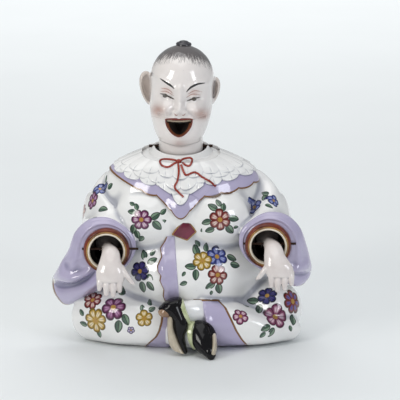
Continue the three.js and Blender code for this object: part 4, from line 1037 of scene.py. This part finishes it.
RELIEF = [  # a line in the view, how far it spreads, and how high it stands
    ([(-0.8, 164), (-0.8, 158), (-0.8, 150)], 2.6, 2.5), ([(-1.1, 149.4), (-0.5, 148.6)], 2.9, 3.0),
    ([(-4.2, 147.8), (-4.0, 147.6)], 1.8, 2.4), ([(2.8, 147.8), (2.6, 147.6)], 1.8, 2.4),
    ([(-12.2, 149.9), (-11.6, 149.7)], 4.8, 4.0), ([(10.8, 148.7), (11.4, 148.7)], 4.8, 4.0),
    ([(-12, 159.5), (-7, 158.5)], 3.3, -2.6), ([(6.5, 157), (11, 158)], 3.3, -2.6),
    ([(-10.4, 160), (-9, 159.7)], 2.3, 2.3), ([(8.2, 158.1), (9.4, 158.2)], 2.3, 2.3),
    (BROWS[0], 2.6, 1.1), (BROWS[1], 2.6, 1.1), (SMILE[0], 1.4, -1.9), (SMILE[1], 1.4, -1.9),
    ([(-4.6, 155.5), (-5, 151)], 1.5, -0.7), ([(2.4, 154.5), (3.1, 150)], 1.5, -0.7),
    ([(-14, 137), (-12, 133)], 4.0, 0.9), ([(12, 136.5), (10, 132.5)], 4.0, 0.9),
    ([(-1.5, 129.6), (-0.5, 129.6)], 3.4, 1.8), ([(-11, 127.8), (-1, 125.4), (9, 126.9)], 1.4, -0.5),
]
HEAD_LEAN, HEAD_TURN, HEAD_SHIFT = math.radians(2.4), math.radians(-3), -1.0
PIVOT = Vector((0, NECK_Y, 129.2))
head_pose = (
    Matrix.Translation(PIVOT + Vector((HEAD_SHIFT, 0, 0))) @ Matrix.Rotation(HEAD_LEAN, 4, "Y")
    @ Matrix.Rotation(HEAD_TURN, 4, "Z") @ Matrix.Translation(-PIVOT)
)


def posed(points):
    """The head leans and turns a little at rest, about its pin."""
    pose = np.array(head_pose)
    return points @ pose[:3, :3].T + pose[:3, 3]


def line_distance(x, height, route):
    """Distance in the view to the smooth line through the route, and how far along it that is."""
    t = np.linspace(0, 1, 30)
    path = spline(route, t)
    near, along = np.full(np.shape(x), 99.0), np.zeros(np.shape(x))
    for (px, ph), at in zip(path, t):
        away = np.hypot(x - px, height - ph)
        closer = away < near
        near, along = np.where(closer, away, near), np.where(closer, at, along)
    return near, along


MOUTH_X, LIP_HEIGHT, MOUTH_HALF, MOUTH_DEPTH = -1.4, 142.4, 8.4, 10.9


def mouth_fields(x, height):
    """How far below the upper lip a point is, and a share that is 1 at the mouth's round lower edge."""
    across = x - MOUTH_X
    drop = LIP_HEIGHT + 0.7 * (across / MOUTH_HALF) ** 2 - height
    wide = (np.sqrt(across**2 + 16) - 4) / 5.6
    return across, drop, wide + (np.maximum(drop, 0) / MOUTH_DEPTH) ** 2.3


def head_form(angle, z):
    """The head's plain form, without its features: distance from its axis."""
    width, depth, forward = np.moveaxis(eased(HEAD_PROFILE, z), -1, 0)
    p = (np.sin(angle) / width) ** 2 + (np.cos(angle) / depth) ** 2
    q = -np.cos(angle) * forward / depth**2
    return (q + np.sqrt(np.maximum(0, q * q - p * ((forward / depth) ** 2 - 1)))) / p


head_z = np.r_[np.linspace(131.8, 184, 190), np.linspace(184.5, 197.9, 40)][:, None]
head_z, head_angle = np.broadcast_arrays(head_z, around(340, -math.pi))
plain = head_form(head_angle, head_z)
reach = plain
to_front = np.clip(np.cos(head_angle) * 3, 0, 1)
for _ in range(3):
    x, height = in_view(posed(about_neck(head_angle, head_z, reach)))
    rise = np.zeros(x.shape)
    for route, spread, amount in RELIEF:
        near, _ = line_distance(x, height, route)
        rise += amount * hump(near, spread)
    across, drop, low = mouth_fields(x, height)
    ridge = np.where(drop > 0, hump(low - 1.1, 0.1), hump(drop + 0.5, 0.8) * (low < 1.15))
    reach = plain + (rise + 0.8 * ridge) * to_front
x, height = in_view(posed(about_neck(head_angle, head_z, reach)))
across, drop, low = mouth_fields(x, height)
within = np.clip((1.02 - low) / 0.16, 0, 1) * to_front
reach = reach - within * (1.8 * np.clip(drop / 0.5, 0, 1) + 11 * np.clip((drop - 1.6) / 0.8, 0, 1))
skull = skin("skull", posed(about_neck(head_angle, head_z, reach)))
EAR_Z = 167
EARS = [(-1, 23.3, 5.2, 12), (1, 20.9, 4.6, 10.4)]  # side, distance out, half width, half height
STEM = [(0.1, 96.2), (12.4, 96.2), (12.6, 97), (12.6, 122), (14.9, 127), (15, 133), (14.6, 137), (0.1, 137)]


def ear(side, reach, width, tall):
    """A large ear with a rolled rim, a hollow and a fold inside it."""
    ring_of, across = np.meshgrid(around(72), np.linspace(0, 1, 24))
    high = tall * np.cos(ring_of) * across
    wide = width * np.sin(ring_of) * across * (1 + 0.22 * np.cos(ring_of))
    front = 1.5 * hump(across - 0.86, 0.12) - 1.5 * (1 - across**2)
    front = front + 0.7 * hump(across - 0.42, 0.1) * np.clip(np.cos(ring_of - 1.9 * side), 0, 1)
    face = np.stack([wide, -front - 1.0, high], -1)
    back = np.stack([wide, 2.2 * (1 - across**2) + 0.3, high], -1)
    rings = np.concatenate([face[1:], back[::-1][:-1]])
    turn = np.array(Matrix.Rotation(-0.5 * side, 3, "Z") @ Matrix.Rotation(0.22 * side, 3, "Y"))
    return skin("ear", posed(rings @ turn.T + np.array([reach * side, 2.0, EAR_Z])))


neck = cutter("neck", STEM, (0, NECK_Y, 0))
head = fused([skull, *[ear(*size) for size in EARS], neck], "laughing_head", 0.42, 3)


def head_paint(piece):
    """The painter's work on the face: a soft wash of colour, with painted shade in the ears' hollows,
    under the chin and below the lower lip; and how far each point lies inside the lines of the brush, in
    millimetres."""
    point = mesh_points(piece)
    x, height = in_view(point)
    back = np.array(head_pose.inverted())
    local = point @ back[:3, :3].T + back[:3, 3]
    angle, z = np.arctan2(local[:, 0], NECK_Y - local[:, 1]), local[:, 2]
    radius = np.hypot(local[:, 0], local[:, 1] - NECK_Y)
    front = (np.cos(angle) > 0.15) & (z > 132)
    wash_and_shade = np.tile(colour("#ece5e2"), (len(x), 1))

    def lay(code, share):
        share = np.clip(share, 0, 1)[:, None]
        wash_and_shade[:, :3] = wash_and_shade[:, :3] * (1 - share) + np.array(colour(code)[:3]) * share

    # Blushes on the cheeks and lids, and painted shade under the chin and below the lower lip.
    for code, px, ph, spread, strength in BLUSHES_AND_SHADE:
        lay(code, strength * front * hump(x - px, spread) * hump(height - ph, 0.7 * spread))
    outside = radius - head_form(angle, np.clip(z, 132, 197))
    ears_at = (np.abs(x + 1) > 18.6) & (z > 150) & (z < 181) & (outside > 1.2)
    lay("#d2c5bc", 0.8 * ears_at)
    # Painted shade in the hollow of each ear.
    hollow = np.hypot((np.abs(x + 1.6) - 23.4) / 2.2, (height - 162.5) / 6)
    lay("#8f7a6e", 0.3 * ears_at * (local[:, 1] < 3) * np.clip(1.5 - hollow, 0, 1))
    store(piece, "wash_and_shade", wash_and_shade, "FLOAT_COLOR")

    def strokes(routes, fat, fine=0.15):
        """How far inside the nearest stroke a point lies. A stroke is fat in its middle."""
        best = np.full(len(x), -9.0)
        for route in routes:
            near, along = line_distance(x, height, route)
            best = np.maximum(best, fine + (fat - fine) * np.sin(math.pi * along) ** 0.7 - near)
        return np.where(front, best, -9.0)

    across, drop, low = mouth_fields(x, height)
    thick = 1.7 * np.sqrt(np.clip(1 - (across / 9.4) ** 2, 0, 1)) - 0.5 * hump(across, 1.2)
    upper = np.minimum(0.35 - drop, thick + drop)
    lower = np.where(drop > -0.4, np.minimum(low - 0.97, 1.14 - low) / 0.2, -9)
    sunk = np.where(front & (low < 1.05) & (drop > -2.5), -outside, 0.0)
    iris = np.max([1.65 - np.hypot(x - px, 1.15 * (height - ph)) for px, ph in IRISES], 0)
    crown = 182.4 + 8.4 * np.cos(angle) - 0.3 * np.sin(angle)
    hair = (z - crown) / (3.2 + 2.5 * np.abs(np.sin(angle)))
    tuft = np.where(front, 1.6 - np.hypot(x + 20.4, height - 173.9), -9.0)
    for name, values in (
        ("ink", strokes(BROWS, 0.78)), ("slit", strokes(SLITS, 0.62)),
        ("pink", strokes(LIDS + CREASES + NOSTRILS, 0.36)), ("iris", np.where(front, iris, -9.0)),
        ("lip", np.where(front, np.maximum(upper, lower), -9.0)),
        ("gape", np.where(front & (drop > 0), 1 - low, -9.0)), ("drop", drop), ("sunk", sunk),
        ("hair", np.maximum(hair, tuft)),
    ):
        store(piece, name, np.clip(values, -9, 99))
    store(piece, "streak", np.stack([np.sin(angle), np.cos(angle), 0.006 * z], -1), "FLOAT_VECTOR")


head_paint(head)
# Painted shade in the creases of the face, the ears and the neck.
mark_crease_shade(head, 50, 0.4)
face_glaze, tree = new_material("flesh glaze with painted features")
uneven = sums(tree, "MULTIPLY", sums(tree, "SUBTRACT", noise(tree, 1400.0), 0.5), 0.3)
skin_tone = stored(tree, "wash_and_shade", "Color")
for name, code, strength in (("pink", "#a9796b", 0.8), ("slit", "#3b2c26", 1.0), ("iris", "#3a2f22", 0.95),
                             ("ink", "#191516", 1.0)):
    share = ramp(tree, sums(tree, "ADD", stored(tree, name), uneven), -0.08, 0.12, 0.0, strength)
    skin_tone = mixed(tree, share, skin_tone, code)
strands_at = {"Vector": stored(tree, "streak", "Vector"), "Scale": 54.0, "Detail": 2.0}
strand = ramp(tree, node(tree, "TexNoise", strands_at), 0.36, 0.62, -0.9, 0.7)
cover = sums(tree, "ADD", sums(tree, "MULTIPLY", stored(tree, "hair"), 1.3), strand)
skin_tone = mixed(tree, ramp(tree, cover, 0.0, 0.8, 0.0, 0.88), skin_tone, "#2f282c")
sunk, gape, drop = (stored(tree, name) for name in ("sunk", "gape", "drop"))
open_mouth = sums(tree, "MAXIMUM", ramp(tree, sunk, 1.0, 1.6), ramp(tree, gape, -0.01, 0.03))
warm = sums(tree, "MULTIPLY", ramp(tree, gape, 0.3, 0.2), ramp(tree, drop, 1.8, 2.6))
teeth = sums(tree, "MULTIPLY", ramp(tree, gape, 0.05, 0.2), ramp(tree, drop, 1.4, 1.2))
throat = mixed(tree, teeth, mixed(tree, warm, "#1c110c", "#84492a"), "#cbbda6")
skin_tone = mixed(tree, open_mouth, skin_tone, throat)
skin_tone = mixed(tree, ramp(tree, stored(tree, "lip"), 0.0, 0.15), skin_tone, "#742f27")
finish_glaze(tree, skin_tone, dull_share=sums(tree, "MULTIPLY", open_mouth, ramp(tree, drop, 1.6, 2.2)))
dress(head, face_glaze, "head", "nodding_head")

# The topknot: a small dark coil of hair on the crown, pressed on and painted black.
black_hair = plain_glaze("black hair enamel", "#26242a", "#3c3a40")
knots = []
for height, radius, thickness in ((198.2, 3.4, 1.9), (199.4, 1.9, 1.5), (199.9, 0.8, 1.2)):
    coil = ring("coil", (0, 0, 0), radius, thickness, thickness * 0.8, 0.0)
    coil.data.transform(Matrix.Translation((0, (NECK_Y + 3) * MM, height * MM)))
    knots.append(coil)
topknot = joined(knots, "topknot")
to_metres = Matrix.Diagonal((MM, MM, MM, 1))
topknot.data.transform(to_metres @ head_pose @ to_metres.inverted())
dress(topknot, black_hair, "head", "nodding_head")

# The hands: solid little castings with slim relaxed fingers. Each hangs on its wire, and its
# tail inside the sleeve keeps it in balance.
FINGERS = [  # root and tip from the wrist, and radius; the last is the thumb
    ((-6.8, -14.2, -15.5), (-7, -16, -22.9), 2.15), ((-2.5, -14.8, -16.5), (-2.6, -17, -26), 2.25),
    ((2, -14.6, -16.5), (2.1, -17, -27), 2.25), ((6.2, -14, -15.5), (6.2, -16, -24.2), 2.15),
    ((6.5, -11, -8.5), (14.4, -14, -19.5), 2.5),
]


def hand_rings(shift, lean):
    """The palm with its wrist and tail, and the fingers, about the cuff's middle."""
    arm = [
        ((0, 18.6, -1), (8, 0, 0), (0, 0, 8)), ((0, 8, -1), (4.5, 0, 0), (0, 0, 4.5)),
        ((shift, -4, -1.6), (5.8, 0, 0), (0, -1.4, 4.6)),
        ((shift + 0.2 * lean, -9.5, -5.5), (7, 0, 0), (0, -3.6, 2.6)),
        ((shift + 0.7 * lean, -13.5, -12), (9.2, 0, 0), (0, -4.2, 1.6)),
        ((shift + lean, -15.4, -18), (9, 0, 0), (0, -3.4, 0.9)),
    ]
    rings = [loft(arm, 60, 56, (6, 1.5))]
    for root, tip, radius in FINGERS:
        a, b = (np.array(p, float) + (shift + lean, 0, 0) for p in (root, tip))
        bend = (a + b) / 2 + (0, -1.2, 0)
        u, v = np.array([radius, 0, 0]), np.array([0, -radius, 0.3])
        sections = [(a, u, v), (bend, 0.95 * u, 0.95 * v), (b, 0.76 * u, 0.76 * v)]
        rings.append(loft(sections, 24, 28, (1.5, 1.8)))
    return rings


hand_glaze = plain_glaze("flesh glaze", "#ddd3d0", "#e6dedb")
for hand, (centre, side, _, (shift, lean)) in CUFFS.items():
    pieces = []
    for order, rings in enumerate(hand_rings(shift, lean)):
        shaped = rings * np.array([-side, 1, 1]) + np.array(centre, float) + (0, 1, 1)
        pieces.append(skin(f"{hand}_finger_{order}", shaped))
    palm = fused(pieces, f"{hand}_hand_casting", 0.4, 3)
    # Painted shade between the fingers and in the hand's creases.
    mark_crease_shade(palm, 30)
    dress(palm, hand_glaze, f"{hand}_hand", f"hand_of_{hand}_arm")

# The iron wires and the lead slug keep their own shapes. The wires are bare, dark and a little rusty.


def metal(name, dark, light, roughness):
    """A bare metal with a fine rough grain in two tones."""
    material, tree = new_material(name)
    grain = noise(tree, 700.0, 4.0)
    shader = node(tree, "BsdfPrincipled", {
        "Base Color": mixed(tree, grain, dark, light), "Metallic": 0.8, "Roughness": roughness,
        "Normal": node(tree, "Bump", {"Height": grain, "Strength": 0.3, "Distance": 0.0001}),
    })
    node(tree, "OutputMaterial", {"Surface": shader})
    return material


iron_wire = metal("oxidised iron wire", "#1a1614", "#4a342a", 0.5)
lead = metal("cast lead", "#4c4e52", "#6a6c70", 0.6)
for name in ("head_pin", "right_hand_pin", "left_hand_pin", "head_weight"):
    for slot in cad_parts[name].material_slots:
        slot.material = lead if name == "head_weight" else iron_wire

# The studio: a plain pale floor, two soft lights in front and one above, a light on the floor
# behind, and a pale sky.
bpy.ops.object.select_all(action="DESELECT")
bpy.ops.mesh.primitive_plane_add(size=6, location=(0, 0, 0))
floor = bpy.context.object
floor.name = "floor"
paper, tree = new_material("pale paper floor")
tint = mixed(tree, noise(tree, 8.0), "#e4e7e8", "#e8ebec")
shader = node(tree, "BsdfPrincipled", {"Base Color": tint, "Roughness": 0.7})
node(tree, "OutputMaterial", {"Surface": shader})
floor.data.materials.append(paper)

sky = bpy.data.worlds.new("pale sky")
sky.use_nodes = True
background = sky.node_tree.nodes["Background"].inputs
background["Color"].default_value, background["Strength"].default_value = colour("#eef3f5"), 0.35
bpy.context.scene.world = sky
bpy.context.scene.view_settings.view_transform = "Standard"

AIM = Vector(VIEW_MIDDLE) * MM


def soft_light(name, place, size, power, tint, aim=AIM):
    """A rectangular soft light: its place in metres, its two sides, its watts and where it points."""
    light = bpy.data.lights.new(name, "AREA")
    light.shape, light.size, light.size_y = "RECTANGLE", *size
    light.energy = power
    light.color = colour(tint)[:3]
    lamp = bpy.data.objects.new(name, light)
    lamp.location = place
    lamp.rotation_euler = (aim - Vector(place)).to_track_quat("-Z", "Y").to_euler()
    bpy.context.collection.objects.link(lamp)
    return lamp


soft_light("key softbox", (-0.62, -0.66, 0.52), (0.28, 0.4), 3.0, "#fffdf8")
soft_light("fill softbox", (0.66, -0.62, 0.46), (0.24, 0.4), 1.9, "#f4f8ff")
soft_light("top softbox", (-0.1, -0.1, 1.2), (1.3, 1.0), 5.4, "#ffffff")
backdrop = soft_light("backdrop light", (0.0, 1.6, 1.5), (2.4, 0.7), 29, "#ffffff", Vector((0, 1.7, 0)))
backdrop.visible_glossy = False

camera_data = bpy.data.cameras.new("photo camera")
camera_data.lens = 212  # a long lens, which frames the figure as the photograph does
camera = bpy.data.objects.new("photo camera", camera_data)
bpy.context.collection.objects.link(camera)
camera.location = AIM + Vector(TOWARDS) * VIEW_DISTANCE * MM
camera.rotation_euler = (AIM - camera.location).to_track_quat("-Z", "Y").to_euler()
camera_data.clip_start, camera_data.clip_end = 0.05, 50
bpy.context.scene.camera = camera
